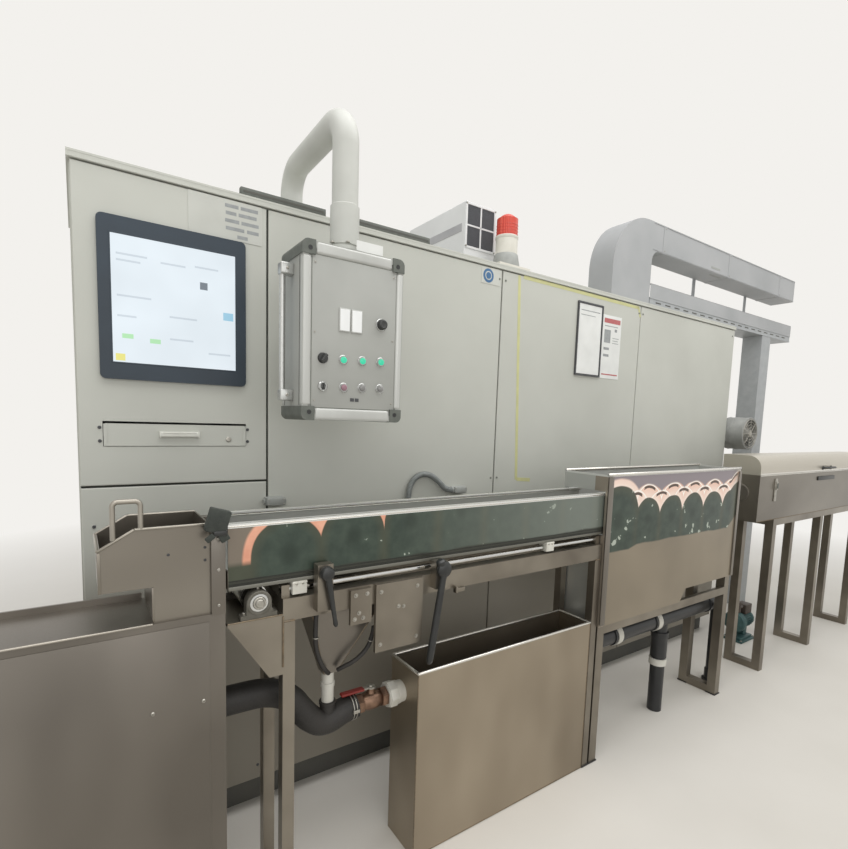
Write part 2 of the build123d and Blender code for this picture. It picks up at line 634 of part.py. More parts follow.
def trunking():
    """Cable duct that rises from the roof and runs over the line, and the tray under it."""
    x0, x1 = TRUNK_LEFT, TRUNK_LEFT + RISER_WIDTH
    y0, y1 = TRUNK_SETBACK, TRUNK_SETBACK + TRUNK_DEPTH
    low, top, under = CABINET_HEIGHT, RUN_TOP, RUN_TOP - RUN_HEIGHT
    far = HOOD_RIGHT
    duct = side_profile([(x0, low), (x0, top), (far, top), (far, under), (x1, under), (x1, low)], y0, y1)
    outer = duct.edges().filter_by(Axis.Y).group_by(Axis.X)[0].sort_by(Axis.Z)[-1]
    duct = fillet(outer, TRUNK_OUTER_RADIUS)
    inner = duct.edges().filter_by(Axis.Y).filter_by_position(Axis.X, x1 - SHEET, x1 + SHEET)
    duct = fillet(inner.sort_by(Axis.Z)[-1], TRUNK_INNER_RADIUS)
    save("cable_trunking", duct)

    tray_low = TRAY_TOP - TRAY_HEIGHT
    near = x1 + TRAY_TO_RISER
    tray = block(near, far, y0, y1, tray_low, TRAY_TOP)
    tray -= block(near, far, y0 + TRAY_WALL, y1 - TRAY_WALL, tray_low + TRAY_WALL, TRAY_TOP)
    tray += block(POST_X, POST_X + POST_WIDTH, y0, y0 + POST_WIDTH, 0, tray_low)
    for start in (POST_X, POST_X - HANGER_PITCH):
        tray += block(start, start + HANGER_WIDTH, y1 - TRAY_WALL, y1, tray_low, under)
    tray += block(near, near + HANGER_WIDTH, y0, y1, CABINET_HEIGHT, tray_low)
    save("cable_tray", tray)


def pendant():
    """Control box on a swivelling flange under a fixed tube and arm."""
    x, y = PENDANT_X, PENDANT_Y
    x0, x1 = x - PENDANT_WIDTH / 2, x + PENDANT_WIDTH / 2
    y0, y1 = y - PENDANT_DEPTH / 2, y + PENDANT_DEPTH / 2
    z0, z1 = PENDANT_BOTTOM, PENDANT_TOP
    cap = CORNER_CAP
    notch = CORNER_CAP_PROUD
    box = block(x0, x1, y0, y1, z0, z1)
    rim = PENDANT_RIM
    box -= block(x0 + rim, x1 - rim, y0, y0 + PENDANT_RECESS, z0 + rim, z1 - rim)
    box += post(x, y, z1, z1 + FLANGE_HEIGHT / 2, FLANGE_DIAMETER)
    caps = Part()
    for cx in (x0, x1 - cap):
        for cz in (z0, z1 - cap):
            left, low = cx == x0, cz == z0
            ox0 = cx - notch if left else cx
            ox1 = cx + cap if left else cx + cap + notch
            oz0 = cz - notch if low else cz
            oz1 = cz + cap if low else cz + cap + notch
            corner = block(ox0, ox1, y0 - notch, y1 + notch, oz0, oz1)
            inside = block(cx + notch if left else cx, cx + cap if left else cx + cap - notch,
                           y0 + notch, y1 - notch,
                           cz + notch if low else cz, cz + cap if low else cz + cap - notch)
            edge = corner.edges().filter_by(Axis.Y)
            outer = edge.sort_by(Axis.X)[:2] if left else edge.sort_by(Axis.X)[-2:]
            outer = outer.sort_by(Axis.Z)[0] if low else outer.sort_by(Axis.Z)[-1]
            corner = fillet(outer, cap / 2)
            box -= block(ox0, ox1, y0 - notch, y1 + notch, oz0, oz1) - inside
            caps += corner - inside
    save("pendant_box", box)
    save("pendant_caps", caps)

    handles = Part()
    for side, edge in ((-1, x0), (1, x1)):
        for z in (z0 + HANDLE_INSET, z1 - HANDLE_INSET):
            a, b = sorted((edge, edge + side * HANDLE_REACH))
            lug = block(a, b, y - HANDLE_LUG / 2, y + HANDLE_LUG / 2, z - HANDLE_LUG / 2, z + HANDLE_LUG / 2)
            handles += lug
        bar_x = edge + side * (HANDLE_REACH - HANDLE_BAR / 2)
        handles += post(bar_x, y, z0 + HANDLE_INSET, z1 - HANDLE_INSET, HANDLE_BAR)
    save("pendant_handles", handles)

    face = y0 + PENDANT_RECESS
    controls = Part()
    meter_z = z0 + PENDANT_HEIGHT * METER_LEVEL
    for shift in (-(METER_WIDTH + METER_GAP) / 2, (METER_WIDTH + METER_GAP) / 2):
        mx = x + shift + METER_SHIFT
        controls += block(mx - METER_WIDTH / 2, mx + METER_WIDTH / 2, face - BUTTON_PROUD, face,
                          meter_z - METER_HEIGHT / 2, meter_z + METER_HEIGHT / 2)
    controls += rod_y(x + KNOB_SHIFT, face - KNOB_PROUD, face, meter_z, KNOB_DIAMETER)
    for level in BUTTON_ROWS:
        for column in range(BUTTONS_PER_ROW):
            bx = x + FIRST_BUTTON_SHIFT + column * BUTTON_PITCH
            proud = KNOB_PROUD if column == 0 else BUTTON_PROUD
            controls += rod_y(bx, face - proud, face, z0 + PENDANT_HEIGHT * level, BUTTON_DIAMETER)
    save("pendant_controls", controls)

    joint_z = z1 + FLANGE_HEIGHT / 2 + SWIVEL_CLEARANCE
    arm = post(x, y, joint_z, joint_z + FLANGE_HEIGHT / 2, FLANGE_DIAMETER)
    elbow = FilletPolyline((x, y, joint_z), (x, y, ARM_HEIGHT), (x, PEDESTAL_SETBACK, ARM_HEIGHT),
                           (x, PEDESTAL_SETBACK, CABINET_HEIGHT), radius=ARM_BEND_RADIUS)
    arm += sweep(Plane.XY.offset(joint_z) * Pos(x, y) * Circle(TUBE_DIAMETER / 2), path=elbow)
    arm += post(x, PEDESTAL_SETBACK, CABINET_HEIGHT, CABINET_HEIGHT + FLANGE_HEIGHT, PEDESTAL_FLANGE)
    save("pendant_arm", arm)


def entry_stand():
    """Stainless stand with its top tray, two posts, and the sheet entry box they hold."""
    front, back = FRAME_FRONT, FRAME_BACK
    stand = block(STAND_LEFT, STAND_RIGHT, front, back, 0, STAND_HEIGHT)
    stand += block(STAND_LEFT, ENTRY_SKIRT_LEFT - UPSTAND_GAP, back - UPSTAND_THICKNESS, back,
                   STAND_HEIGHT, STAND_HEIGHT + STAND_UPSTAND)
    for y in (front, back - ENTRY_POST):
        stand += block(STAND_RIGHT, STAND_RIGHT + ENTRY_POST, y, y + ENTRY_POST, 0, ENTRY_POST_TOP)
    save("entry_stand", stand)

    y0, y1 = LINE_Y - TROUGH_WIDTH / 2, LINE_Y + TROUGH_WIDTH / 2
    wall = SHEET
    outline = [(ENTRY_LEFT, ENTRY_BOTTOM), (ENTRY_LEFT, ENTRY_NOSE), (ENTRY_SHOULDER, ENTRY_TOP),
               (STAND_RIGHT, ENTRY_TOP), (STAND_RIGHT, STAND_HEIGHT),
               (ENTRY_SKIRT_LEFT, STAND_HEIGHT), (ENTRY_SKIRT_LEFT, ENTRY_BOTTOM)]
    inner = [(ENTRY_LEFT + wall, ENTRY_BOTTOM + wall), (ENTRY_LEFT + wall, ENTRY_TOP + wall),
             (STAND_RIGHT - wall, ENTRY_TOP + wall), (STAND_RIGHT - wall, ENTRY_BOTTOM + wall)]
    box = side_profile(outline, y0, y1) - side_profile(inner, y0 + wall, y1 - wall)
    box -= rod_x(ENTRY_LEFT, STAND_RIGHT, LINE_Y, CABLE_HEIGHT, CABLE_PORT)
    save("entry_box", box)

    y = y0 + wall / 2
    left, right = ENTRY_LEFT + GRIP_INSET, ENTRY_LEFT + GRIP_INSET + GRIP_SPAN
    low = ENTRY_NOSE + (GRIP_INSET + GRIP_ROD / 2) * (ENTRY_TOP - ENTRY_NOSE) / ENTRY_SLOPE
    top = ENTRY_TOP + GRIP_RISE
    path = FilletPolyline((left, y, low), (left, y, top), (right, y, top), (right, y, ENTRY_TOP),
                          radius=GRIP_ROD)
    grip = sweep(Plane.XY.offset(low) * Pos(left, y) * Circle(GRIP_ROD / 2), path=path)
    save("entry_grip", grip)

    clip_x = STAND_RIGHT + ENTRY_POST / 2
    clip = block(-CLIP_SIZE / 2, CLIP_SIZE / 2, front - CLIP_THICKNESS, front, -CLIP_DROP, CLIP_SIZE)
    clip = fillet(clip.edges().filter_by(Axis.Y), CLIP_CORNER)
    save("post_clip", Pos(clip_x, 0, ENTRY_POST_TOP) * clip)


def trough_section(width, bottom, top, wall):
    """Open channel section, y across and z up, centred on the line."""
    outside = Pos(LINE_Y, (bottom + top) / 2) * Rectangle(width, top - bottom)
    inside = Pos(LINE_Y, (bottom + wall + top) / 2) * Rectangle(width - 2 * wall, top - bottom - wall)
    return outside - inside


def sliding_trough():
    """Trough with folded rims that slides on two rods into the deep box."""
    x0, x1 = TROUGH_LEFT, TROUGH_RIGHT
    section = trough_section(TROUGH_WIDTH, TROUGH_BOTTOM, TROUGH_TOP, SHEET)
    for side in (-1, 1):
        y = LINE_Y + side * (TROUGH_WIDTH - TROUGH_RIM) / 2
        section += Pos(y, TROUGH_TOP - SHEET / 2) * Rectangle(TROUGH_RIM, SHEET)
        bead = TROUGH_BEAD / 2
        section += Pos(LINE_Y + side * (TROUGH_WIDTH / 2 - bead), TROUGH_TOP - bead) * Circle(bead)
    trough = end_profile(section, x0, x1)
    save("sliding_trough", trough)

    blocks = Part()
    rods = Part()
    for side in (-1, 1):
        y = LINE_Y + side * ROD_SPACING / 2
        for x in SLIDE_BLOCK_PLACES:
            body = block(x - SLIDE_BLOCK_WIDTH / 2, x + SLIDE_BLOCK_WIDTH / 2, y - SLIDE_BLOCK_DEPTH / 2,
                         y + SLIDE_BLOCK_DEPTH / 2, SLIDE_BLOCK_BOTTOM, TROUGH_BOTTOM)
            body -= rod_x(x - SLIDE_BLOCK_WIDTH, x + SLIDE_BLOCK_WIDTH, y, ROD_HEIGHT,
                          ROD_DIAMETER + 2 * RUNNING_FIT)
            blocks += body
        rods += rod_x(FRAME_LEFT, FRAME_RIGHT, y, ROD_HEIGHT, ROD_DIAMETER)
    save("slide_blocks", blocks)
    save("guide_rods", rods)


def trough_frame():
    """Welded tube frame with clamp plates, rod supports and the bearing bracket."""
    x0, x1 = FRAME_LEFT, FRAME_RIGHT
    front, back = FRAME_FRONT, FRAME_BACK
    tube = FRAME_TUBE
    low, top = BEAM_BOTTOM, BEAM_TOP
    frame = block(x0, x1, front, front + BEAM_WIDTH, low, top)
    frame += block(x0, x1, back - BEAM_WIDTH, back, low, top)
    for x in (x0, x1 - tube):
        frame += block(x, x + tube, front, back, low, top)
        frame += block(x, x + tube, front + tube, back - tube, 0, tube)
        for y in (front, back - tube):
            frame += block(x, x + tube, y, y + tube, 0, low)
    for x in (x0, x1 - ROD_SUPPORT):
        for side in (-1, 1):
            y = LINE_Y + side * ROD_SPACING / 2
            frame += block(x, x + ROD_SUPPORT, y - ROD_SUPPORT / 2, y + ROD_SUPPORT / 2,
                           top, ROD_HEIGHT + ROD_DIAMETER / 2 + SHEET)
            frame -= rod_x(x, x + ROD_SUPPORT, y, ROD_HEIGHT, ROD_DIAMETER)
    for offset, width, height, drop in PLATES:
        frame += block(x0 + offset, x0 + offset + width, front - PLATE_THICKNESS, front,
                       top - drop - height, top - drop)
    for offset, rise, _, _ in (LEFT_LEVER, RIGHT_LEVER):
        x, hub_z = x0 + offset, top + rise
        body = block(x - CLAMP_BLOCK_WIDTH / 2, x + CLAMP_BLOCK_WIDTH / 2, front - CLAMP_BLOCK_DEPTH, front,
                     top - CLAMP_BLOCK_DROP, hub_z + CLAMP_BLOCK_WIDTH / 2)
        body -= rod_y(x, front - CLAMP_BLOCK_DEPTH, front, hub_z, LEVER_PIN + 2 * RUNNING_FIT)
        frame += body

    bx0 = x0 - BRACKET_LENGTH
    thin = BRACKET_THICKNESS
    frame += block(bx0, x0, front, back, BRACKET_TOP - thin, BRACKET_TOP)
    drop = BRACKET_TOP - GUSSET_DROP
    for y in (front, back - thin):
        frame += side_profile([(bx0, BRACKET_TOP - thin), (x0, BRACKET_TOP - thin), (x0, drop),
                               (x0 - GUSSET_TOE, drop)], y, y + thin)
    save("trough_frame", frame)


def bearings():
    """Two pillow blocks on the bracket and the roller shaft that turns in them."""
    housings = Part()
    x, z = BEARING_X, BEARING_HEIGHT
    offset = FRAME_WIDTH / 2 - BEARING_THICKNESS / 2
    for side in (-1, 1):
        y0 = LINE_Y + side * offset - BEARING_THICKNESS / 2
        y1 = y0 + BEARING_THICKNESS
        body = block(x - BEARING_BASE / 2, x + BEARING_BASE / 2, y0, y1, BRACKET_TOP,
                     BRACKET_TOP + BEARING_FOOT)
        body += block(x - BEARING_DIAMETER / 2, x + BEARING_DIAMETER / 2, y0, y1, BRACKET_TOP, z)
        body += rod_y(x, y0, y1, z, BEARING_DIAMETER)
        body -= rod_y(x, y0, y1, z, SHAFT_DIAMETER + 2 * RUNNING_FIT)
        housings += body
    save("pillow_blocks", housings)
    shaft = rod_y(x, FRAME_FRONT, FRAME_BACK, z, SHAFT_DIAMETER)
    shaft += rod_y(x, FRAME_FRONT + ROLLER_SIDE_GAP, FRAME_BACK - ROLLER_SIDE_GAP, z, ROLLER_DIAMETER)
    save("support_roller", shaft)


def clamp_lever(name, offset, rise, length, lean):
    """Black clamp lever: a pin in the clamp block, a round hub and a tapered handle."""
    x, z = FRAME_LEFT + offset, BEAM_TOP + rise
    face = FRAME_FRONT - CLAMP_BLOCK_DEPTH
    hub_back = face - SWIVEL_CLEARANCE
    hub_front = hub_back - LEVER_HUB_DEPTH
    lever = rod_y(x, hub_back, FRAME_FRONT - SWIVEL_CLEARANCE, z, LEVER_PIN)
    lever += rod_y(x, hub_front, hub_back, z, LEVER_HUB)
    y = (hub_front + hub_back) / 2
    handle = Cone(LEVER_STEM / 2, LEVER_TIP / 2, length, align=UP)
    lever += Pos(x, y, z) * Rot(0, 180 - lean, 0) * handle
    save(name, lever)


def tank_and_drain():
    """Open water tank, the drain funnel above it, and the hose and valve that join them."""
    front = FRAME_FRONT
    wall = SHEET
    x0, x1, y1 = TANK_LEFT, TANK_RIGHT, FRAME_BACK - TANK_BACK_INSET
    tank = block(x0, x1, front, y1, 0, TANK_HEIGHT)
    tank -= block(x0 + wall, x1 - wall, front + wall, y1 - wall, wall, TANK_HEIGHT)
    save("water_tank", tank)

    top = BEAM_BOTTOM
    centre = FUNNEL_LEFT + FUNNEL_WIDTH / 2
    skirt = top - FUNNEL_SKIRT

    def funnel_form(inset):
        upper = Plane.XY.offset(skirt) * Pos(centre, LINE_Y) * Rectangle(
            FUNNEL_WIDTH - 2 * inset, FUNNEL_DEPTH - 2 * inset)
        lower = Plane.XY.offset(FUNNEL_BOTTOM) * Pos(FUNNEL_OUTLET_X, LINE_Y) * Rectangle(
            FUNNEL_OUTLET - 2 * inset, FUNNEL_OUTLET - 2 * inset)
        rim = block(centre - FUNNEL_WIDTH / 2 + inset, centre + FUNNEL_WIDTH / 2 - inset,
                    LINE_Y - FUNNEL_DEPTH / 2 + inset, LINE_Y + FUNNEL_DEPTH / 2 - inset, skirt, top)
        return loft([lower, upper]) + rim

    save("drain_funnel", funnel_form(0) - funnel_form(wall))

    hose = FilletPolyline((STAND_RIGHT, LINE_Y, HOSE_START_HEIGHT),
                          (FRAME_LEFT + FRAME_TUBE, LINE_Y, HOSE_START_HEIGHT),
                          (FUNNEL_OUTLET_X - HOSE_BACKSET, LINE_Y, HOSE_LOW_HEIGHT),
                          (VALVE_LEFT - HOSE_DIAMETER / 2, LINE_Y, VALVE_HEIGHT),
                          (VALVE_LEFT, LINE_Y, VALVE_HEIGHT), radius=HOSE_BEND)
    drain = sweep(Plane(origin=hose @ 0, z_dir=hose % 0) * Circle(HOSE_DIAMETER / 2), path=hose)
    drain += post(FUNNEL_OUTLET_X, LINE_Y, HOSE_LOW_HEIGHT, DRAIN_STUB_TOP, DRAIN_STUB_DIAMETER)
    save("drain_hose", drain)

    x = (VALVE_LEFT + VALVE_RIGHT) / 2
    z = VALVE_HEIGHT
    stem_top = z + VALVE_BODY / 2 + VALVE_BONNET_RISE
    valve = rod_x(VALVE_LEFT, VALVE_RIGHT, LINE_Y, z, VALVE_BODY)
    valve += post(x, LINE_Y, z, stem_top, VALVE_BONNET)
    valve += post(x, LINE_Y, stem_top, stem_top + VALVE_STEM_RISE, VALVE_STEM)
    save("valve_body", valve)
    lever_z = stem_top + SWIVEL_CLEARANCE
    arm = block(x - VALVE_LEVER_LENGTH, x + VALVE_STEM, LINE_Y - VALVE_LEVER_WIDTH / 2,
                LINE_Y + VALVE_LEVER_WIDTH / 2, lever_z, lever_z + VALVE_LEVER_THICKNESS)
    arm += post(x, LINE_Y, lever_z, lever_z + VALVE_LEVER_THICKNESS, VALVE_LEVER_EYE)
    arm -= post(x, LINE_Y, lever_z, lever_z + VALVE_LEVER_THICKNESS, VALVE_STEM + 2 * RUNNING_FIT)
    save("valve_lever", arm)


def white_fittings():
    """White plastic drain pipe and the white union rings on the pipes."""
    pieces = post(FUNNEL_OUTLET_X, LINE_Y, DRAIN_STUB_TOP, FUNNEL_BOTTOM, DRAIN_PIPE_DIAMETER)
    pieces += rod_x(VALVE_RIGHT, TANK_LEFT, LINE_Y, VALVE_HEIGHT, UNION_DIAMETER)
    for offset in RING_OFFSETS:
        x = BOX_LEFT + offset
        ring = rod_x(x, x + RING_WIDTH, LINE_Y, PIPE_HEIGHT, PIPE_DIAMETER + 2 * RING_PROUD)
        pieces += ring - rod_x(x, x + RING_WIDTH, LINE_Y, PIPE_HEIGHT, PIPE_DIAMETER)
    ring_z = PIPE_HEIGHT / 2
    ring = post(TEE_X, LINE_Y, ring_z, ring_z + RING_WIDTH, TEE_DIAMETER + 2 * RING_PROUD)
    pieces += ring - post(TEE_X, LINE_Y, ring_z, ring_z + RING_WIDTH, TEE_DIAMETER)
    save("white_fittings", pieces)


def deep_box():
    """Deep stainless box that the trough slides into, on its own tube stand."""
    x0, x1 = BOX_LEFT, BOX_RIGHT
    y0, y1 = LINE_Y - BOX_WIDTH / 2, LINE_Y + BOX_WIDTH / 2
    wall = SHEET
    step = BOX_BOTTOM + BOX_STEP

    def outline(inset, top):
        return [(x0 + inset, BOX_BOTTOM + inset), (BOX_STEP_X - inset, BOX_BOTTOM + inset),
                (BOX_STEP_X + BOX_STEP_RUN - inset, step + inset), (x1 - inset, step + inset),
                (x1 - inset, top), (x0 + inset, top)]

    box = side_profile(outline(0, BOX_TOP), y0, y1)
    box -= side_profile(outline(wall, BOX_TOP), y0 + wall, y1 - wall)
    gap = BOX_MOUTH_CLEARANCE
    box -= block(x0, x0 + wall, LINE_Y - TROUGH_WIDTH / 2 - gap, LINE_Y + TROUGH_WIDTH / 2 + gap,
                 TROUGH_BOTTOM - gap, TROUGH_TOP + gap)
    box -= rod_x(x1 - wall, x1, LINE_Y, CABLE_HEIGHT, BOX_PORT)
    bead = BOX_BEAD
    for y in (y0 + bead / 2 - wall, y1 - bead / 2 + wall):
        box += rod_x(x0, x1, y, BOX_TOP, bead)
    box += post(OUTLET_X, LINE_Y, PIPE_HEIGHT + PIPE_DIAMETER / 2 - wall, BOX_BOTTOM, OUTLET_DIAMETER)
    box -= rod_x(OUTLET_X - OUTLET_DIAMETER, OUTLET_X + OUTLET_DIAMETER, LINE_Y, PIPE_HEIGHT, PIPE_DIAMETER)
    save("deep_box", box)

    front, back = FRAME_FRONT, FRAME_BACK
    stand = Part()
    near = x0 + BOX_STAND_INSET
    for x, top in ((near, BOX_BOTTOM), (x1 - LEG, step)):
        for y in (front, back - LEG):
            stand += block(x, x + LEG, y, y + LEG, 0, top)
        stand += block(x, x + LEG, front + LEG, back - LEG, 0, FOOT_BAR)
    for y in (front, back - FOOT_BAR / 2):
        stand += block(near + LEG, x1 - LEG, y, y + FOOT_BAR / 2, BOX_BOTTOM - FOOT_BAR, BOX_BOTTOM)
    save("deep_box_stand", stand)


def overflow_pipe():
    """Black pipe from the deep box back to the tank, with a branch down to the floor."""
    pipe = rod_x(TANK_RIGHT, PIPE_END, LINE_Y, PIPE_HEIGHT, PIPE_DIAMETER)
    pipe += post(TEE_X, LINE_Y, 0, PIPE_HEIGHT, TEE_DIAMETER)
    pipe += post(PIPE_END, LINE_Y, 0, PIPE_HEIGHT, DROP_DIAMETER)
    pipe += Pos(PIPE_END, LINE_Y, PIPE_HEIGHT) * Sphere(PIPE_DIAMETER / 2)
    save("overflow_pipe", pipe)


def hooded_trough():
    """Closed trough with a hinged hood, on legs with floor bars."""
    x0, x1 = HOOD_LEFT, HOOD_RIGHT
    wall = SHEET
    front, back = FRAME_FRONT, FRAME_BACK
    body = block(x0, x1, front, back, HOOD_BOTTOM, HOOD_SEAM)
    body -= block(x0 + wall, x1 - wall, front + wall, back - wall, HOOD_BOTTOM + wall, HOOD_SEAM)
    for start in (x0, x1 - wall):
        body -= rod_x(start, start + wall, LINE_Y, CABLE_HEIGHT, BOX_PORT)
    save("hood_trough", body)

    seam = HOOD_SEAM + SWIVEL_CLEARANCE
    lid = block(x0, x1, front, back, seam, HOOD_TOP)
    lid = fillet(lid.edges().filter_by(Axis.X).group_by(Axis.Z)[-1].sort_by(Axis.Y)[0], LID_SHOULDER)
    lid -= block(x0 + wall, x1 - wall, front + LID_SHOULDER, back - wall, seam, HOOD_TOP - wall)
    hollow = block(x0 + wall, x1 - wall, front + wall, back - wall, seam, HOOD_TOP - wall)
    hollow = fillet(hollow.edges().filter_by(Axis.X).group_by(Axis.Z)[-1].sort_by(Axis.Y)[0],
                    LID_SHOULDER - wall)
    save("hood_lid", lid - hollow)

    stand = Part()
    pitch = (HOOD_LAST_LEG - HOOD_FIRST_LEG) / (HOOD_LEGS - 1)
    for step in range(HOOD_LEGS):
        x = HOOD_FIRST_LEG + step * pitch
        for y in (front, back - LEG):
            stand += block(x, x + LEG, y, y + LEG, 0, HOOD_BOTTOM)
        stand += block(x, x + LEG, front + LEG, back - LEG, 0, FOOT_BAR)
        stand += block(x, x + LEG, front + LEG, back - LEG, HOOD_BOTTOM - FOOT_BAR, HOOD_BOTTOM)
    for y in (front, back - FOOT_BAR / 2):
        stand += block(HOOD_FIRST_LEG, HOOD_LAST_LEG + LEG, y, y + FOOT_BAR / 2,
                       HOOD_BOTTOM - FOOT_BAR, HOOD_BOTTOM)
    save("hood_stand", stand)


def pump():
    """Small circulation pump with its motor, standing on the floor behind the line."""
    x, y = PUMP_X, -PUMP_TO_CABINET
    body = block(x - PUMP_BASE / 2, x + PUMP_BASE / 2, y - PUMP_BASE_WIDTH / 2,
                 y + PUMP_BASE_WIDTH / 2, 0, PUMP_BASE_HEIGHT)
    z = PUMP_AXIS_HEIGHT
    near = x - PUMP_BASE / 2
    body += rod_x(near, near + VOLUTE_WIDTH, y, z, VOLUTE_DIAMETER)
    body += rod_x(near, near + MOTOR_LENGTH, y, z, MOTOR_DIAMETER)
    body += block(x - PUMP_SADDLE_LENGTH / 2, x + PUMP_SADDLE_LENGTH / 2, y - PUMP_SADDLE_WIDTH / 2,
                  y + PUMP_SADDLE_WIDTH / 2, 0, z)
    body += post(near + VOLUTE_WIDTH / 2, y, z, z + PUMP_PORT_RISE, PUMP_PORT)
    save("floor_pump", body)


cabinet_housing()
cabinet_covers()
screen()
keyboard_drawer()
roof_fittings()
cabinet_fittings()
trunking()
pendant()
entry_stand()
sliding_trough()
trough_frame()
bearings()
clamp_lever("left_clamp_lever", *LEFT_LEVER)
clamp_lever("right_clamp_lever", *RIGHT_LEVER)
tank_and_drain()
white_fittings()
deep_box()
overflow_pipe()
hooded_trough()
pump()
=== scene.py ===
"""Looks of a cable cooling and control bay: the finishes of its sheet, tube and plastics,
and the small parts that its solids leave out.

Metres, +Z up, +X along the line, +Y from the operator to the cabinet.  Places on the line
are given in millimetres from the lower left front corner of the cabinet, as on a shop
drawing, and at() turns them into the frame's metres.
"""

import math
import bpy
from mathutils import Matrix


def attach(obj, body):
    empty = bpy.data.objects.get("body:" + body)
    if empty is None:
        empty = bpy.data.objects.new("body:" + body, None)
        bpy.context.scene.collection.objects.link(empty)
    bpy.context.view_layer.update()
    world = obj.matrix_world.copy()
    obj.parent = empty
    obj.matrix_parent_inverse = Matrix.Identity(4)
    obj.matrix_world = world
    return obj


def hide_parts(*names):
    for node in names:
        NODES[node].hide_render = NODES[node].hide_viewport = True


bl_info = {
    "name": "Cable Line Bay",
    "version": (1, 0, 0),
    "blender": (4, 5, 0),
    "location": "View3D > Sidebar > Line Bay",
    "description": "Finishes and small parts of a cable cooling and control bay",
    "category": "Object",
}

import bpy
import bmesh
from mathutils import Matrix, Vector

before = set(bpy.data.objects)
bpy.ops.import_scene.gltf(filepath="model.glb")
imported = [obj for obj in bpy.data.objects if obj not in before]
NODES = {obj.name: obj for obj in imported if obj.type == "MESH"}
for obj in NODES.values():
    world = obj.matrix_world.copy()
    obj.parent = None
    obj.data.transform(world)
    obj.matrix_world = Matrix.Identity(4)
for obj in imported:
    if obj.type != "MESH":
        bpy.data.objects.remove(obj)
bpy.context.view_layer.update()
CORNER = Vector((-1.695, -0.3, 0.0))
FLAT = math.radians(35)
FINISHES = {}

# Directions, and places that several pieces share, in millimetres on the line
OUT, UP, ALONG = (0, -1, 0), (0, 0, 1), (1, 0, 0)
MIDDLE = -356                              # depth of the middle of the line
TROUGH_SIDES = ((-441, -1), (-271, 1))     # long faces of the troughs, and which way they look
DRAIN_Z = 485                              # height of the valve and of the pipe that it closes
PANEL = -328.2                             # front of the hanging box's panel


# Colours and nodes

def linear(value):
    """A colour written 0xRRGGBB in sRGB, as the linear RGBA that the shaders take."""
    parts = [(value >> shift & 255) / 255 for shift in (16, 8, 0)]
    return (*[c / 12.92 if c <= 0.04045 else ((c + 0.055) / 1.055) ** 2.4 for c in parts], 1.0)


def add(tree, kind, links=None, **settings):
    """Add one shader node: its settings by name, and for each of its sockets a value, an
    output, or another node, which stands for the first of its outputs in use."""
    node = tree.nodes.new("ShaderNode" + kind)
    for name, value in settings.items():
        setattr(node, name, value)
    for name, value in (links or {}).items():
        socket = node.inputs[name]
        if isinstance(value, bpy.types.Node):
            value = next(output for output in value.outputs if output.enabled)
        if isinstance(value, bpy.types.NodeSocket):
            tree.links.new(value, socket)
        else:
            socket.default_value = value
    return node


def new_finish(name):
    """An empty material, its tree and the coordinates of the piece that wears it."""
    material = bpy.data.materials.new(name)
    material.use_nodes = True
    material.node_tree.nodes.clear()
    place = add(material.node_tree, "TexCoord")
    return material, material.node_tree, place.outputs["Object"]


def finished(material, sockets):
    """The material, its tree ended by a shader with these values and links."""
    tree = material.node_tree
    add(tree, "OutputMaterial", {"Surface": add(tree, "BsdfPrincipled", sockets)})
    return material


def worn(name, colour, shade, patch_mm, grain_mm, bump_mm, gloss, metallic=0.0,
         stretch=(1, 1, 1), grain_shade=0.0):
    """A finish with soft patches of a second shade, a fine grain in its bump and its gloss.

    patch_mm and grain_mm are the real sizes of the patches and of the grain, bump_mm is the
    depth of the grain, gloss is the lowest and highest roughness, stretch draws both out
    along an axis, as brushing or rolling does, and grain_shade is the grain's share in the
    shade.
    """
    material, tree, place = new_finish(name)
    drawn = add(tree, "Mapping", {"Vector": place, "Scale": stretch})
    patch = add(tree, "TexNoise", {"Vector": drawn, "Scale": 1000 / patch_mm, "Detail": 3.0,
                                   "Roughness": 0.55})
    grain = add(tree, "TexNoise", {"Vector": drawn, "Scale": 1000 / grain_mm, "Detail": 2.0})
    even = add(tree, "MapRange", {"Value": patch, "From Min": 0.3, "From Max": 0.7})
    if grain_shade:
        even = add(tree, "Mix", {0: grain_shade, 2: even, 3: grain}, data_type="FLOAT")
    tone = add(tree, "Mix", {0: even, 6: linear(colour), 7: linear(shade)}, data_type="RGBA")
    rough = add(tree, "MapRange", {"Value": grain, "From Min": 0.3, "From Max": 0.7,
                                   "To Min": gloss[0], "To Max": gloss[1]})
    bump = add(tree, "Bump", {"Height": grain, "Distance": bump_mm / 1000, "Strength": 0.6})
    return finished(material, {"Base Color": tone, "Roughness": rough, "Normal": bump,
                               "Metallic": metallic})


def lit(name, colour, strength):
    """A lamp lens, a screen's lit field, or a meter face given a painted glow: a dark glossy front
    over an even glow.
    """
    material, tree, place = new_finish(name)
    grain = add(tree, "TexNoise", {"Vector": place, "Scale": 6.0})
    glow = add(tree, "MapRange", {"Value": grain, "From Min": 0.3, "From Max": 0.7,
                                  "To Min": strength * 0.9, "To Max": strength})
    return finished(material, {"Base Color": linear(0x2A2C2E), "Roughness": 0.25,
                               "Emission Color": linear(colour), "Emission Strength": glow})


# Finishes, each named for what it is and how its surface was made

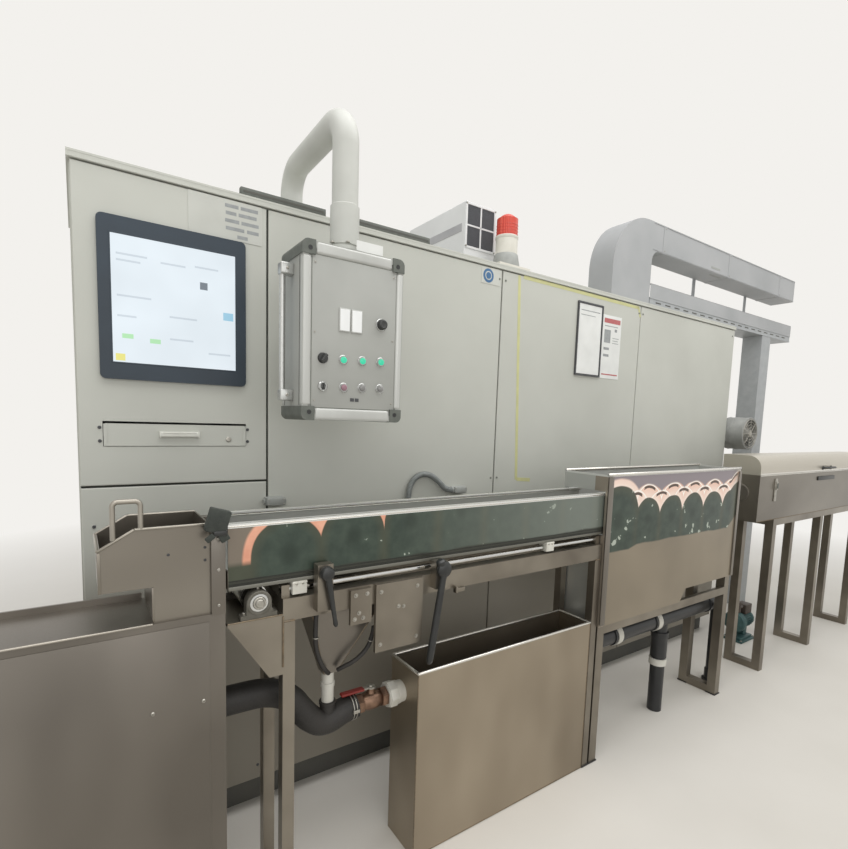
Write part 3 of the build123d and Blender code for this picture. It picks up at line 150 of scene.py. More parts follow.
def powder_coated_sheet():
    """Folded steel sheet, powder coated pale grey green: an orange-peel skin of about 1 mm,
    drawn 4 mm coarse so that it shows, soft patches where hands and dust have dulled it, and a
    brown painted shade below the height of the line, where the line keeps the light off the covers."""
    sizes, colours = bpy.context.scene.bay_sizes, bpy.context.scene.bay_colours
    material, tree, place = new_finish("powder_coated_sheet")
    patch = add(tree, "TexNoise", {"Vector": place, "Scale": 2.2, "Detail": 4.0})
    peel = add(tree, "TexNoise", {"Vector": place, "Scale": 1 / sizes.peel, "Detail": 1.0})
    even = add(tree, "MapRange", {"Value": patch, "From Min": 0.32, "From Max": 0.68})
    tone = add(tree, "Mix", {0: even, 6: (*colours.sheet, 1.0), 7: (*colours.sheet_worn, 1.0)},
               data_type="RGBA")
    height = add(tree, "SeparateXYZ", {"Vector": place}).outputs["Z"]
    # Painted shade: below the height of the line the covers darken to brown, in uneven patches.
    shade_below_line = add(tree, "Math", {0: patch, 1: 0.12, 2: height}, operation="MULTIPLY_ADD")
    shade_below_line = add(tree, "MapRange", {"Value": shade_below_line, "From Min": 0.98, "From Max": 0.72,
                                  "To Max": 0.8})
    dulled_and_shaded = add(tree, "Mix", {0: shade_below_line, 6: tone, 7: linear(0x756C5E)}, data_type="RGBA")
    rough = add(tree, "MapRange", {"Value": patch, "To Min": 0.42, "To Max": 0.58})
    bump = add(tree, "Bump", {"Height": peel, "Distance": 0.0004, "Strength": 0.35})
    return finished(material, {"Base Color": dulled_and_shaded, "Roughness": rough, "Normal": bump})


def polished_sheet(name, lead, row, band, beyond, fade, top, calm, last, foot, under, ends,
                   scalloped):
    """Mirror-polished stainless sheet with a painted reflection along its front, its figure: dark
    green cable drums mirrored in it as rounds, over the salmon ground of their flanges.

    lead is the place (x, z) and radius of the first round, and row the place, radius, pitch and
    climb for each metre of those after it.  The ground reaches band radii from the row, and
    past it the sheet has the colour beyond.  fade is where the figure starts and ends to pale,
    by what share and to which colour.  Above top the sheet is a buffed rim, under calm and past
    last it is green all along, under foot it has the two colours of under, and outside ends and
    inside it is plain.  A scalloped ground has a dark crescent between two pale edges over each
    gap and each round."""
    material, tree, place = new_finish(name)
    true = add(tree, "SeparateXYZ", {"Vector": place}).outputs

    # The sheet isn't quite flat: the painted reflection sways by some 9 mm, and past x = 0.82 m it
    # climbs.
    most = 0.009
    sway = add(tree, "TexNoise", {"Vector": place, "Scale": 8.0, "Detail": 1.0})
    base = add(tree, "Mapping", {"Vector": place, "Location": (-most, 0.0, -most)})
    bent = add(tree, "VectorMath", {0: sway.outputs["Color"], 1: (2 * most, 0.0, 2 * most),
                                    2: base}, operation="MULTIPLY_ADD")
    axes = add(tree, "SeparateXYZ", {"Vector": bent}).outputs
    past = add(tree, "Math", {0: axes["X"], 1: 0.82}, operation="SUBTRACT")
    past = add(tree, "Math", {0: past, 1: 0.0}, operation="MAXIMUM")
    height = add(tree, "Math", {0: past, 1: -0.8, 2: axes["Z"]}, operation="MULTIPLY_ADD")

    # The first round: its upper edge runs straight back on its left, its hub is round.
    offset = add(tree, "VectorMath", {0: bent, 1: (1.0, 0.0, 1.0), 2: (-lead[0], 0.0, -lead[1])},
                 operation="MULTIPLY_ADD")
    upper = add(tree, "VectorMath", {0: offset, 1: (-10.0, 0.0, 0.0)}, operation="MAXIMUM")
    reaches = []
    for spot in (upper, offset):
        reach = add(tree, "VectorMath", {0: spot}, operation="LENGTH")
        reaches.append(add(tree, "Math", {0: reach, 1: 1 / lead[2]}, operation="MULTIPLY"))
    first, hub = reaches

    # The row, and for the scallops the same row raised twice, once by half a pitch aside.
    x, z, radius, pitch, climb = row
    rows = []
    for shift, rise in ((0.0, 0.0), (0.5, 0.27), (0.0, 0.55))[:3 if scalloped else 1]:
        turns = add(tree, "Math", {0: axes["X"], 1: 1 / pitch, 2: -x / pitch - shift},
                    operation="MULTIPLY_ADD")
        turns = add(tree, "Math", {0: turns}, operation="ROUND")
        turns = add(tree, "Math", {0: turns, 1: -2 * shift}, operation="MAXIMUM")
        across = add(tree, "Math", {0: turns, 1: -pitch, 2: axes["X"]}, operation="MULTIPLY_ADD")
        across = add(tree, "Math", {0: across, 1: x + shift * pitch}, operation="SUBTRACT")
        over = add(tree, "Math", {0: turns, 1: -climb * pitch, 2: height},
                   operation="MULTIPLY_ADD")
        over = add(tree, "Math", {0: over, 1: z + rise * radius}, operation="SUBTRACT")
        above = add(tree, "Math", {0: over, 1: 0.0}, operation="MAXIMUM")
        spot = add(tree, "CombineXYZ", {"X": across, "Y": above})
        reach = add(tree, "VectorMath", {0: spot}, operation="LENGTH")
        reach = add(tree, "Math", {0: reach, 1: 1 / radius}, operation="MULTIPLY")
        rows.append((reach, across, over))
    second, across, over = rows[0]
    spot = add(tree, "CombineXYZ", {"X": across, "Y": over})
    middle = add(tree, "VectorMath", {0: spot}, operation="LENGTH")
    middle = add(tree, "Math", {0: middle, 1: 1 / radius}, operation="MULTIPLY")
    hub = add(tree, "Math", {0: hub, 1: middle}, operation="MINIMUM")
    nearest = add(tree, "Math", {0: first, 1: second}, operation="MINIMUM")

    # Green of the reflected drums: mottled, browner at their edge, darker at their hub, with pale
    # flecks of painted highlight.
    reflection_noise = add(tree, "TexNoise", {"Vector": bent, "Scale": 26.0, "Detail": 3.0})
    mottle = add(tree, "MapRange", {"Value": reflection_noise, "From Min": 0.35, "From Max": 0.68})
    green = add(tree, "Mix", {0: mottle, 6: linear(0x36423A), 7: linear(0x455147)},
                data_type="RGBA")
    for value, start, end, most, colour in ((nearest, 0.7, 1.0, 0.6, 0x515140),
                                            (hub, 0.34, 0.12, 0.75, 0x2C372F),
                                            (reflection_noise, 0.675, 0.695, 0.75, 0xC6CFC2)):
        share = add(tree, "MapRange", {"Value": value, "From Min": start, "From Max": end,
                                       "To Max": most})
        green = add(tree, "Mix", {0: share, 6: green, 7: linear(colour)}, data_type="RGBA")

    # Salmon ground between them: the drums' flanges in the painted reflection.
    ground = add(tree, "Mix", {0: mottle, 6: linear(0xEDB297), 7: linear(0xDE9C82)},
                 data_type="RGBA")
    if scalloped:
        share = add(tree, "MapRange", {"Value": nearest, "From Min": 1.5, "From Max": 1.0,
                                       "To Min": 0.35, "To Max": 0.9})
        ground = add(tree, "Mix", {0: share, 6: ground, 7: linear(0xFCEBDF)}, data_type="RGBA")
        for reach, across, _ in rows[:0:-1]:
            pale = add(tree, "Math", {0: reach, 1: 1.04, 2: 0.035}, operation="COMPARE")
            ground = add(tree, "Mix", {0: pale, 6: ground, 7: linear(0xFFF8F0)},
                         data_type="RGBA")
            dark = add(tree, "Math", {0: reach, 1: 0.93, 2: 0.06}, operation="COMPARE")
            short = add(tree, "Math", {0: across, 1: 0.0, 2: 0.42 * radius},
                        operation="COMPARE")
            dark = add(tree, "Math", {0: dark, 1: short}, operation="MULTIPLY")
            ground = add(tree, "Mix", {0: dark, 6: ground, 7: linear(0x57483F)},
                         data_type="RGBA")
    edge = add(tree, "MapRange", {"Value": nearest, "From Min": 0.985, "From Max": 1.015})
    reflection_pattern = add(tree, "Mix", {0: edge, 6: green, 7: ground}, data_type="RGBA")

    # What lies past the band, under calm, past last, and where the painted reflection pales.
    far = add(tree, "Math", {0: first, 1: 1 / 1.2}, operation="MULTIPLY")
    away = add(tree, "Math", {0: second, 1: 1 / band}, operation="MULTIPLY")
    away = add(tree, "Math", {0: far, 1: away}, operation="MINIMUM")
    share = add(tree, "MapRange", {"Value": away, "From Min": 0.98, "From Max": 1.03})
    reflection_pattern = add(tree, "Mix", {0: share, 6: reflection_pattern, 7: linear(beyond)}, data_type="RGBA")
    share = add(tree, "MapRange", {"Value": axes["Z"], "From Min": calm + 0.006,
                                   "From Max": calm - 0.006})
    late = add(tree, "MapRange", {"Value": axes["X"], "From Min": last - 0.01,
                                  "From Max": last})
    share = add(tree, "Math", {0: share, 1: late}, operation="MAXIMUM")
    reflection_pattern = add(tree, "Mix", {0: share, 6: reflection_pattern, 7: green}, data_type="RGBA")
    share = add(tree, "MapRange", {"Value": true["X"], "From Min": fade[0], "From Max": fade[1],
                                   "To Max": fade[2]})
    reflection_pattern = add(tree, "Mix", {0: share, 6: reflection_pattern, 7: linear(fade[3])}, data_type="RGBA")

    # The sheet under the reflected drums, a little higher beside the first round.
    sunk = add(tree, "MapRange", {"Value": first, "From Min": 1.0, "From Max": 0.6,
                                  "To Max": 0.015 if scalloped else 0.0})
    level = add(tree, "Math", {0: height, 1: sunk}, operation="ADD")
    low = add(tree, "MapRange", {"Value": level, "From Min": foot + 0.002,
                                 "From Max": foot - 0.004})
    cloud = add(tree, "TexNoise", {"Vector": place, "Scale": 3.5, "Detail": 2.0})
    below_drums = add(tree, "Mix", {0: cloud, 6: linear(under[0]), 7: linear(under[1])},
               data_type="RGBA")
    tone = add(tree, "Mix", {0: low, 6: reflection_pattern, 7: below_drums}, data_type="RGBA")

    # Plain steel on all that doesn't look out, past the ends, inside and on the rim.
    facing = add(tree, "NewGeometry").outputs["Normal"]
    facing = add(tree, "SeparateXYZ", {"Vector": facing}).outputs["Y"]
    plain = add(tree, "Math", {0: facing, 1: -0.6}, operation="GREATER_THAN")
    for operation, limit in (("LESS_THAN", ends[0]), ("GREATER_THAN", ends[1])):
        outside = add(tree, "Math", {0: true["X"], 1: limit}, operation=operation)
        plain = add(tree, "Math", {0: plain, 1: outside}, operation="MAXIMUM")
    steel = add(tree, "Mix", {0: cloud, 6: linear(0x968D81), 7: linear(0xA69D90)},
                data_type="RGBA")
    tone = add(tree, "Mix", {0: plain, 6: tone, 7: steel}, data_type="RGBA")
    for axis, limit, colour in (("Y", -0.7, 0xC6C8C4), ("Z", top, 0xE2E3E0)):
        part = add(tree, "Math", {0: true[axis], 1: limit}, operation="GREATER_THAN")
        tone = add(tree, "Mix", {0: part, 6: tone, 7: linear(colour)}, data_type="RGBA")
    metal = add(tree, "Math", {0: plain, 1: part}, operation="MAXIMUM")
    metal = add(tree, "MapRange", {"Value": metal, "To Min": 0.3, "To Max": 0.7})
    bump = add(tree, "Bump", {"Height": cloud, "Distance": 0.0006, "Strength": 0.3})
    return finished(material, {"Base Color": tone, "Metallic": metal, "Normal": bump,
                               "Roughness": 0.3})


def ribbed_lens():
    """Moulded red polycarbonate with upright ribs of 5 mm pitch, which streak it light and
    dark."""
    material, tree, place = new_finish("ribbed_red_lens")
    ribs = add(tree, "TexWave", {"Vector": place, "Scale": 60.0, "Distortion": 0.4})
    ribs = ribs.outputs["Fac"]
    tone = add(tree, "Mix", {0: ribs, 6: linear(0xB93A30), 7: linear(0xD05545)},
               data_type="RGBA")
    bump = add(tree, "Bump", {"Height": ribs, "Distance": 0.001, "Strength": 0.4})
    return finished(material, {"Base Color": tone, "Normal": bump, "Roughness": 0.22,
                               "Emission Color": linear(0xD8402C), "Emission Strength": 0.06})


def woven_mesh():
    """Filter mesh woven from dark painted wire, a wire and a hole every 3 mm."""
    material, tree, place = new_finish("woven_filter_mesh")
    weave = add(tree, "TexChecker", {"Vector": place, "Color1": linear(0x2B2C2F),
                                     "Color2": linear(0x505257), "Scale": 1 / 0.0015})
    bump = add(tree, "Bump", {"Height": weave.outputs["Fac"], "Distance": 0.0005})
    return finished(material, {"Base Color": weave, "Normal": bump, "Roughness": 0.65})


# Each worn finish: its material's name, colour, second shade, size of the patches and of the
# grain in mm, depth of the grain in mm, gloss, then metallic, stretch and the grain's shade.
WORN = {
    # Chassis paint on the plinth: matt, dull and covered in dust; as dark slabs it also paints the
    # shade in the tray's slots.
    "plinth": ("chassis_paint", 0x4A4A47, 0x5B5A54, 260, 5, 0.3, (0.65, 0.8)),
    # Dark and faint strips in the gaps: painted shade in the seams; the faint one also greys some
    # screw heads.
    "gap": ("gap_rubber", 0x23241F, 0x30302B, 40, 3, 0.2, (0.7, 0.85)),
    "faint_gap": ("gap_foam", 0x83867E, 0x757870, 40, 3, 0.2, (0.7, 0.85)),
    # Anodised aluminium behind clear acrylic: slate blue and smooth.
    "bezel": ("anodised_bezel", 0x1D2933, 0x25333F, 180, 2, 0.05, (0.42, 0.5)),
    "grip": ("moulded_white_abs", 0xD9D9D1, 0xCDCDC4, 60, 2, 0.1, (0.35, 0.45)),
    # Stoved enamel: harder and glossier than the powder coat beside it.
    "cooler": ("stoved_white_enamel", 0xD9DADA, 0xCFD0D0, 220, 4, 0.2, (0.35, 0.5)),
    "grille": ("grille_mesh_paint", 0x55565A, 0x626367, 30, 2, 0.3, (0.6, 0.75)),
    "stripe": ("cooler_stripe_paint", 0xA9A9AB, 0x9C9C9F, 80, 3, 0.1, (0.4, 0.5)),
    "beacon_base": ("moulded_cream_abs", 0xD8D5CB, 0xCCC9BE, 50, 2, 0.1, (0.4, 0.5)),
    # Zinc that has crystallised in small flakes, and duller paint on the duct.
    "galvanised": ("galvanised_sheet", 0xAEB1B2, 0x9FA2A4, 45, 6, 0.15, (0.4, 0.6), 0.35,
                   (1, 1, 1), 0.3),
    "duct": ("painted_duct_sheet", 0xA7A8A9, 0x999B9C, 320, 5, 0.3, (0.45, 0.6)),
    # Grey plastics and castings on the cabinet: dull, with a fine grain.
    "block": ("moulded_grey_polyamide", 0x9C9E9A, 0x8F918D, 30, 2, 0.2, (0.5, 0.65)),
    "flex": ("flexible_conduit_pvc", 0x8B8F8D, 0x777B79, 20, 2, 0.2, (0.45, 0.6)),
    "fan": ("cast_fan_housing", 0x9B9C99, 0x8A8B88, 60, 4, 0.4, (0.5, 0.65), 0.3),
    "fan_dark": ("fan_blade_nylon", 0x2E2F31, 0x3A3B3D, 30, 2, 0.1, (0.5, 0.6)),
    # Hanging box: powder-coated aluminium front between satin extrusions drawn upright.
    "pendant": ("powder_coated_aluminium", 0xA7A8A3, 0x9C9D98, 200, 3, 0.15, (0.42, 0.55)),
    "profile": ("satin_anodised_profile", 0xC2C3BF, 0xB2B3AF, 120, 2, 0.08, (0.34, 0.45), 0.3,
                (1, 1, 0.1)),
    "cap": ("moulded_corner_cap", 0x666963, 0x565A54, 25, 2, 0.2, (0.55, 0.7)),
    "handle": ("drawn_aluminium_bar", 0xC6C7C4, 0xB4B5B2, 60, 2, 0.05, (0.25, 0.38), 0.6,
               (1, 1, 0.08)),
    "tube": ("enamelled_steel_tube", 0xC4C5BF, 0xB8B9B3, 140, 3, 0.15, (0.4, 0.5)),
    # Paper and vinyl: matt, with nothing legible on them.
    "paper": ("label_paper", 0xE2E3E0, 0xD6D7D4, 90, 2, 0.03, (0.55, 0.7)),
    "label": ("grey_label_vinyl", 0xC4C5BE, 0xBCBDB6, 90, 2, 0.03, (0.5, 0.65)),
    "ink": ("label_grey", 0x9DA0A0, 0x8B8E8E, 20, 1, 0.01, (0.5, 0.6)),
    "red_print": ("label_red", 0xB86A6A, 0xA95D5D, 20, 1, 0.01, (0.5, 0.6)),
    "blue_print": ("label_blue", 0x416C94, 0x396188, 20, 1, 0.01, (0.45, 0.55)),
    "tape": ("masking_tape", 0xC9C892, 0xBDBC8C, 60, 2, 0.1, (0.6, 0.75)),
    # Black and white plastics and rubber: the smoother, the glossier.
    "board_rim": ("board_frame_abs", 0x3C3D3F, 0x4A4B4D, 40, 2, 0.1, (0.4, 0.5)),
    "black": ("moulded_black_nylon", 0x1F2020, 0x2B2C2B, 30, 2, 0.2, (0.3, 0.45)),
    "strap": ("woven_strap_webbing", 0x3B3F3A, 0x2E322E, 20, 2, 0.6, (0.7, 0.85)),
    "rubber": ("vulcanised_rubber", 0x211F1D, 0x2D2A27, 50, 3, 0.3, (0.5, 0.7)),
    "pvc": ("extruded_black_pvc", 0x1E1F21, 0x2A2B2C, 120, 3, 0.1, (0.28, 0.42)),
    "white_pvc": ("moulded_white_pvc", 0xD5D3CB, 0xC5C2B8, 60, 3, 0.1, (0.35, 0.5)),
    "acetal": ("milled_white_acetal", 0xDAD8D0, 0xC9C6BC, 30, 2, 0.1, (0.35, 0.5)),
    # Stainless: cold-rolled sheet and tube with a fine satin, in wide soft patches of warm grey.
    "stainless": ("satin_stainless_sheet", 0x6B655C, 0x8E887E, 520, 3, 0.004, (0.3, 0.36), 0.85,
                  (0.5, 1, 1)),
    "stainless_up": ("satin_stainless_upright", 0x6C6760, 0x928C84, 520, 3, 0.004, (0.3, 0.36),
                     0.85, (1, 1, 0.5)),
    # The tank's copy of the satin stainless is lighter, in taller and stronger patches: its own
    # satin tone with painted reflection on top.
    "tank": ("satin_stainless_tank", 0x857A6A, 0xBAAE9C, 560, 3, 0.004, (0.3, 0.36), 0.85,
             (1, 1, 0.45)),
    "hem": ("folded_stainless_hem", 0xA49E94, 0x8E897F, 120, 2, 0.03, (0.3, 0.4), 0.8,
            (0.3, 1, 1)),
    "lip": ("shaded_stainless_lip", 0x77766E, 0x66655D, 160, 3, 0.03, (0.35, 0.45), 0.5,
            (0.2, 1, 1)),
    "lid": ("rolled_stainless_lid", 0xC9C4B8, 0xBDB7AB, 420, 4, 0.03, (0.3, 0.42), 0.8,
            (0.3, 1, 1)),
    "rim": ("buffed_stainless_rim", 0xE0DED8, 0xCECAC2, 160, 2, 0.03, (0.16, 0.26), 0.85,
            (0.08, 1, 1)),
    "tube_steel": ("satin_stainless_tube", 0x716A60, 0x979084, 300, 3, 0.006, (0.3, 0.38), 0.85),
    # Other metals: beads and bolts are brighter and rougher than the sheet beside them.
    "weld": ("brushed_weld_bead", 0x6F6557, 0x8A7B66, 9, 2, 0.4, (0.4, 0.6), 0.8),
    "chrome": ("ground_chromed_rod", 0xD9DAD9, 0xC7C8C7, 90, 2, 0.02, (0.08, 0.16), 1.0),
    "bolt": ("zinc_plated_bolt", 0xB5B2AA, 0x9B9890, 12, 1, 0.05, (0.3, 0.45), 0.9),
    "casting": ("painted_iron_casting", 0x6E6B63, 0x5B584F, 25, 2, 0.5, (0.45, 0.65), 0.4),
    "brass": ("nickelled_brass", 0x8A6F5C, 0x6F5749, 20, 2, 0.1, (0.3, 0.45), 0.85),
    # Dips, paints and lenses of the small fittings.
    "dipped": ("dipped_red_vinyl", 0x8E2A22, 0x7A221C, 25, 2, 0.1, (0.35, 0.5)),
    "pump": ("hammered_teal_paint", 0x3F5F5E, 0x324E4E, 30, 3, 0.5, (0.4, 0.55), 0.2),
    "pump_cap": ("moulded_brown_cowl", 0x4A3F38, 0x3B322C, 30, 3, 0.3, (0.4, 0.55)),
    "button_dark": ("selector_black_nylon", 0x2A2B2A, 0x363736, 15, 1, 0.1, (0.35, 0.5)),
    "button_grey": ("lens_smoke_grey", 0x8B8A88, 0x7B7A78, 15, 1, 0.05, (0.2, 0.3)),
    "button_mauve": ("lens_dull_mauve", 0x9A7580, 0x8B6873, 15, 1, 0.05, (0.2, 0.3)),
    "button_ring": ("chromed_button_ring", 0xB9BAB8, 0xA7A8A6, 15, 1, 0.02, (0.15, 0.25), 0.9),
}
LIT = {
    "green_lamp": ("green_lamp_lens", 0x2FD6A6, 1.0),
    # The meter faces are no lamps: their glow is painted light.
    "meter_glow": ("white_meter_lens", 0xF4F4F0, 0.95),
    "screen": ("backlit_screen", 0xE2ECF3, 0.97),
    "screen_green": ("screen_green_field", 0xB4EDB4, 0.9),
    "screen_yellow": ("screen_yellow_field", 0xEFE87C, 0.9),
    "screen_blue": ("screen_blue_field", 0x9CCFE8, 0.9),
    "screen_grey": ("screen_grey_field", 0xCFDAE3, 0.9),
    "screen_dark": ("screen_dark_field", 0x6F7B86, 0.8),
}


def make_finishes():
    """All the finishes of the bay, kept by name."""
    for made, table in ((worn, WORN), (lit, LIT)):
        FINISHES.update({key: made(*values) for key, values in table.items()})
    FINISHES["sheet"] = powder_coated_sheet()
    FINISHES["mesh"] = woven_mesh()
    FINISHES["beacon"] = ribbed_lens()
    # Both polished sheets carry a painted reflection of green cable drums with salmon flanges.
    FINISHES["trough"] = polished_sheet(
        "trough_sheet_painted_reflection", lead=(-1.285, 0.975, 0.09),
        row=(-1.115, 1.0, 0.0895, 0.176, 0.12), band=1.2, beyond=0x7E7468,
        fade=(-1.0, -0.25, 0.65, 0x858B83), top=1.048, calm=0.966, last=-0.98, foot=0.93,
        under=(0x34362F, 0x46473E), ends=(-1.43, -0.04), scalloped=False)
    FINISHES["box"] = polished_sheet(
        "deep_box_sheet_painted_reflection", lead=(-0.027, 0.955, 0.13),
        row=(0.165, 0.941, 0.087, 0.168, 0.0), band=1.6, beyond=0x8D8489,
        fade=(0.82, 0.9, 0.6, 0x6E6A5A), top=1.118, calm=0.0, last=9.0, foot=0.848,
        under=(0x756C5D, 0x9C907D), ends=(-0.072, 0.91), scalloped=True)


NODE_FINISH = {
    "sheet": ("left_housing", "main_housing", "left_upper_cover", "left_lower_cover",
              "middle_cover", "right_cover", "end_cover", "roof_panel", "keyboard_drawer"),
    "plinth": ("cabinet_plinth",), "bezel": ("screen_frame",), "screen": ("screen_glass",),
    "grip": ("drawer_grip",), "cooler": ("cooling_unit",), "grille": ("cooling_grille",),
    "beacon_base": ("beacon_base",), "beacon": ("beacon_dome",), "block": ("grey_blocks",),
    "board_rim": ("document_board",), "flex": ("conduit",), "fan": ("end_fan",),
    "duct": ("cable_trunking",), "galvanised": ("cable_tray",), "tube": ("pendant_arm",),
    "pendant": ("pendant_box",), "cap": ("pendant_caps",), "handle": ("pendant_handles",),
    "button_dark": ("pendant_controls",), "stainless": ("entry_box", "hood_trough"),
    "stainless_up": ("entry_stand", "drain_funnel"), "lid": ("hood_lid",),
    "tank": ("water_tank",), "hem": ("entry_grip",), "strap": ("post_clip",),
    "black": ("left_clamp_lever", "right_clamp_lever"), "trough": ("sliding_trough",),
    "acetal": ("slide_blocks",), "chrome": ("guide_rods", "support_roller"),
    "tube_steel": ("trough_frame", "deep_box_stand", "hood_stand"),
    "casting": ("pillow_blocks",), "rubber": ("drain_hose",), "pvc": ("overflow_pipe",),
    "brass": ("valve_body",), "dipped": ("valve_lever",), "white_pvc": ("white_fittings",),
    "box": ("deep_box",), "pump": ("floor_pump",),
}


# Modelling helpers

def at(x, y, z):
    """A place on the line, in millimetres from the cabinet's corner, in the frame's metres."""
    return CORNER + Vector((x, y, z)) / 1000


def alone(*pieces):
    """Nothing selected but these pieces, with the first of them active."""
    bpy.ops.object.select_all(action="DESELECT")
    for piece in reversed(pieces):
        piece.select_set(True)
        bpy.context.view_layer.objects.active = piece


def settled():
    """The active object, with its place in its mesh."""
    bpy.ops.object.transform_apply(location=True, rotation=True, scale=True)
    return bpy.context.object


def standing(axis, place):
    """The turn and place that stand a piece's own Z along an axis."""
    turn = Vector(axis).to_track_quat("Z", "Y").to_matrix().to_4x4()
    return Matrix.Translation(place) @ turn


def bevelled(piece, edge, steps=2, corners=4):
    """The piece with a bevel round each of its faces that have so many corners or more."""
    if edge:
        alone(piece)
        bpy.ops.object.mode_set(mode="EDIT")
        bpy.ops.mesh.select_mode(type="FACE")
        bpy.ops.mesh.select_all(action="DESELECT")
        mesh = bmesh.from_edit_mesh(piece.data)
        for face in mesh.faces:
            face.select_set(len(face.verts) >= corners)
        bmesh.update_edit_mesh(piece.data)
        bpy.ops.mesh.bevel(offset=edge / 1000, segments=steps, affect="EDGES")
        bpy.ops.object.mode_set(mode="OBJECT")
    return piece


def box(x0, x1, y0, y1, z0, z1, edge=0.0, steps=2):
    """A block between its limits on the line in millimetres, with its edges bevelled."""
    low, high = at(x0, y0, z0), at(x1, y1, z1)
    alone()
    bpy.ops.mesh.primitive_cube_add(size=1, location=(low + high) / 2)
    bpy.context.object.scale = high - low
    return bevelled(settled(), edge, steps)


def bar(start, end, diameter, edge=0.0, sides=32):
    """A round or many-sided bar from start to end on the line, with its rims bevelled."""
    start, end = at(*start), at(*end)
    alone()
    bpy.ops.mesh.primitive_cylinder_add(vertices=sides, radius=diameter / 2000,
                                        depth=(end - start).length)
    bpy.context.object.matrix_world = standing(end - start, (start + end) / 2)
    return bevelled(settled(), edge, corners=5)


def turned(place, axis, rings, sides=32):
    """A turned piece: rings of (distance along the axis, radius) in millimetres from place."""
    axis = Vector(axis).normalized()
    alone()
    bpy.ops.mesh.primitive_circle_add(vertices=sides, radius=rings[0][1] / 1000,
                                      fill_type="NGON")
    piece = bpy.context.object
    bpy.ops.object.mode_set(mode="EDIT")
    bpy.ops.mesh.select_all(action="SELECT")
    for (before, old), (along, new) in zip(rings, rings[1:]):
        bpy.ops.mesh.extrude_region_move(
            TRANSFORM_OT_translate={"value": (0, 0, (along - before) / 1000)})
        if new != old:
            bpy.ops.transform.resize(value=(new / old, new / old, 1), center_override=(0, 0, 0))
    bpy.ops.mesh.select_all(action="SELECT")
    bpy.ops.mesh.normals_make_consistent(inside=False)
    bpy.ops.object.mode_set(mode="OBJECT")
    piece.matrix_world = standing(axis, at(*place) + axis * rings[0][0] / 1000)
    return settled()


def hoop(centre, axis, diameter, wire, sides=48):
    """A ring of round wire about an axis through a place in metres, its sizes in millimetres."""
    alone()
    bpy.ops.mesh.primitive_torus_add(major_radius=diameter / 2000, minor_radius=wire / 2000,
                                     major_segments=sides, minor_segments=10)
    bpy.context.object.matrix_world = standing(axis, centre)
    return settled()


def path(points):
    """A NURBS line on the line's points: it meets its two ends, and the others pull it."""
    alone()
    bpy.ops.curve.primitive_nurbs_path_add()
    piece = bpy.context.object
    piece.data.splines.clear()
    spline = piece.data.splines.new("NURBS")
    spline.points.add(len(points) - 1)
    for point, spot in zip(spline.points, points):
        point.co = (*at(*spot), 1.0)
    spline.order_u = 3
    spline.use_endpoint_u = True
    spline.resolution_u = 12
    piece.data.dimensions = "3D"
    return piece


def tube(points, diameter):
    """A round hose or bent rod along such a line, in millimetres, as one mesh."""
    curve = path(points).data
    curve.bevel_depth = diameter / 2000
    curve.bevel_resolution = 4
    curve.use_fill_caps = True
    bpy.ops.object.convert(target="MESH")
    piece = settled()
    bpy.ops.object.mode_set(mode="EDIT")
    bpy.ops.mesh.select_all(action="SELECT")
    bpy.ops.mesh.remove_doubles(threshold=0.00005)
    bpy.ops.mesh.normals_make_consistent(inside=False)
    bpy.ops.object.mode_set(mode="OBJECT")
    return piece


def stations(points, pitch):
    """Places every pitch millimetres along such a line, each with its direction."""
    piece = path(points)
    mesh = bpy.data.meshes.new_from_object(piece)
    spots = [vertex.co.copy() for vertex in mesh.vertices]
    bpy.data.meshes.remove(mesh)
    bpy.data.objects.remove(piece)
    found, gone = [], 0.0
    for here, ahead in zip(spots, spots[1:]):
        length = (ahead - here).length * 1000
        steps = max(1, round(length))
        for step in range(steps):
            gone += length / steps
            if gone >= pitch:
                found.append((here.lerp(ahead, (step + 1) / steps), ahead - here))
                gone -= pitch
    return found


def coated(finish, *pieces):
    """The pieces all in one finish, as a list."""
    for piece in pieces:
        piece.data.materials.clear()
        piece.data.materials.append(FINISHES[finish])
    return list(pieces)


def copied(pieces, moves):
    """Copies of the pieces at each of the moves, as a list, in place of the pieces."""
    copies = []
    for move in moves:
        for piece in pieces:
            alone(piece)
            bpy.ops.object.duplicate(linked=False)
            bpy.context.object.matrix_world = move
            copies.append(settled())
    for piece in pieces:
        bpy.data.objects.remove(piece)
    return copies


def repeated(pieces, shifts):
    """The pieces at each shift in millimetres, as a list."""
    return copied(pieces, [Matrix.Translation(Vector(shift) / 1000) for shift in shifts])


def swing(place, axis, degrees):
    """The move that turns about an axis through a place on the line."""
    turn = Matrix.Rotation(math.radians(degrees), 4, axis)
    return Matrix.Translation(at(*place)) @ turn @ Matrix.Translation(-at(*place))


def leaned(piece, place, axis, degrees):
    """The piece turned about an axis through a place on the line."""
    alone(piece)
    piece.matrix_world = swing(place, axis, degrees)
    return settled()


def ringed(pieces, place, axis, degrees):
    """The pieces at each turn about an axis through a place on the line, as a list."""
    return copied(pieces, [swing(place, axis, turn) for turn in degrees])


def fitted(name, pieces, body, replaces=()):
    """Join the pieces into one, smooth its round faces and let it ride on its body."""
    alone(*pieces)
    if len(pieces) > 1:
        bpy.ops.object.join()
    piece = bpy.context.object
    alone(piece)
    piece.name = piece.data.name = name
    bpy.ops.object.shade_smooth_by_angle(angle=FLAT)
    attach(piece, body)
    if replaces:
        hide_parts(*replaces)


def screw(place, axis, diameter, finish="bolt"):
    """A pan-head screw with a round socket in its head."""
    r, h = diameter / 2, diameter * 0.35
    rings = [(0, r), (h * 0.5, r), (h, r * 0.72), (h, r * 0.36), (h * 0.4, r * 0.32)]
    return coated(finish, turned(place, axis, rings, 16))


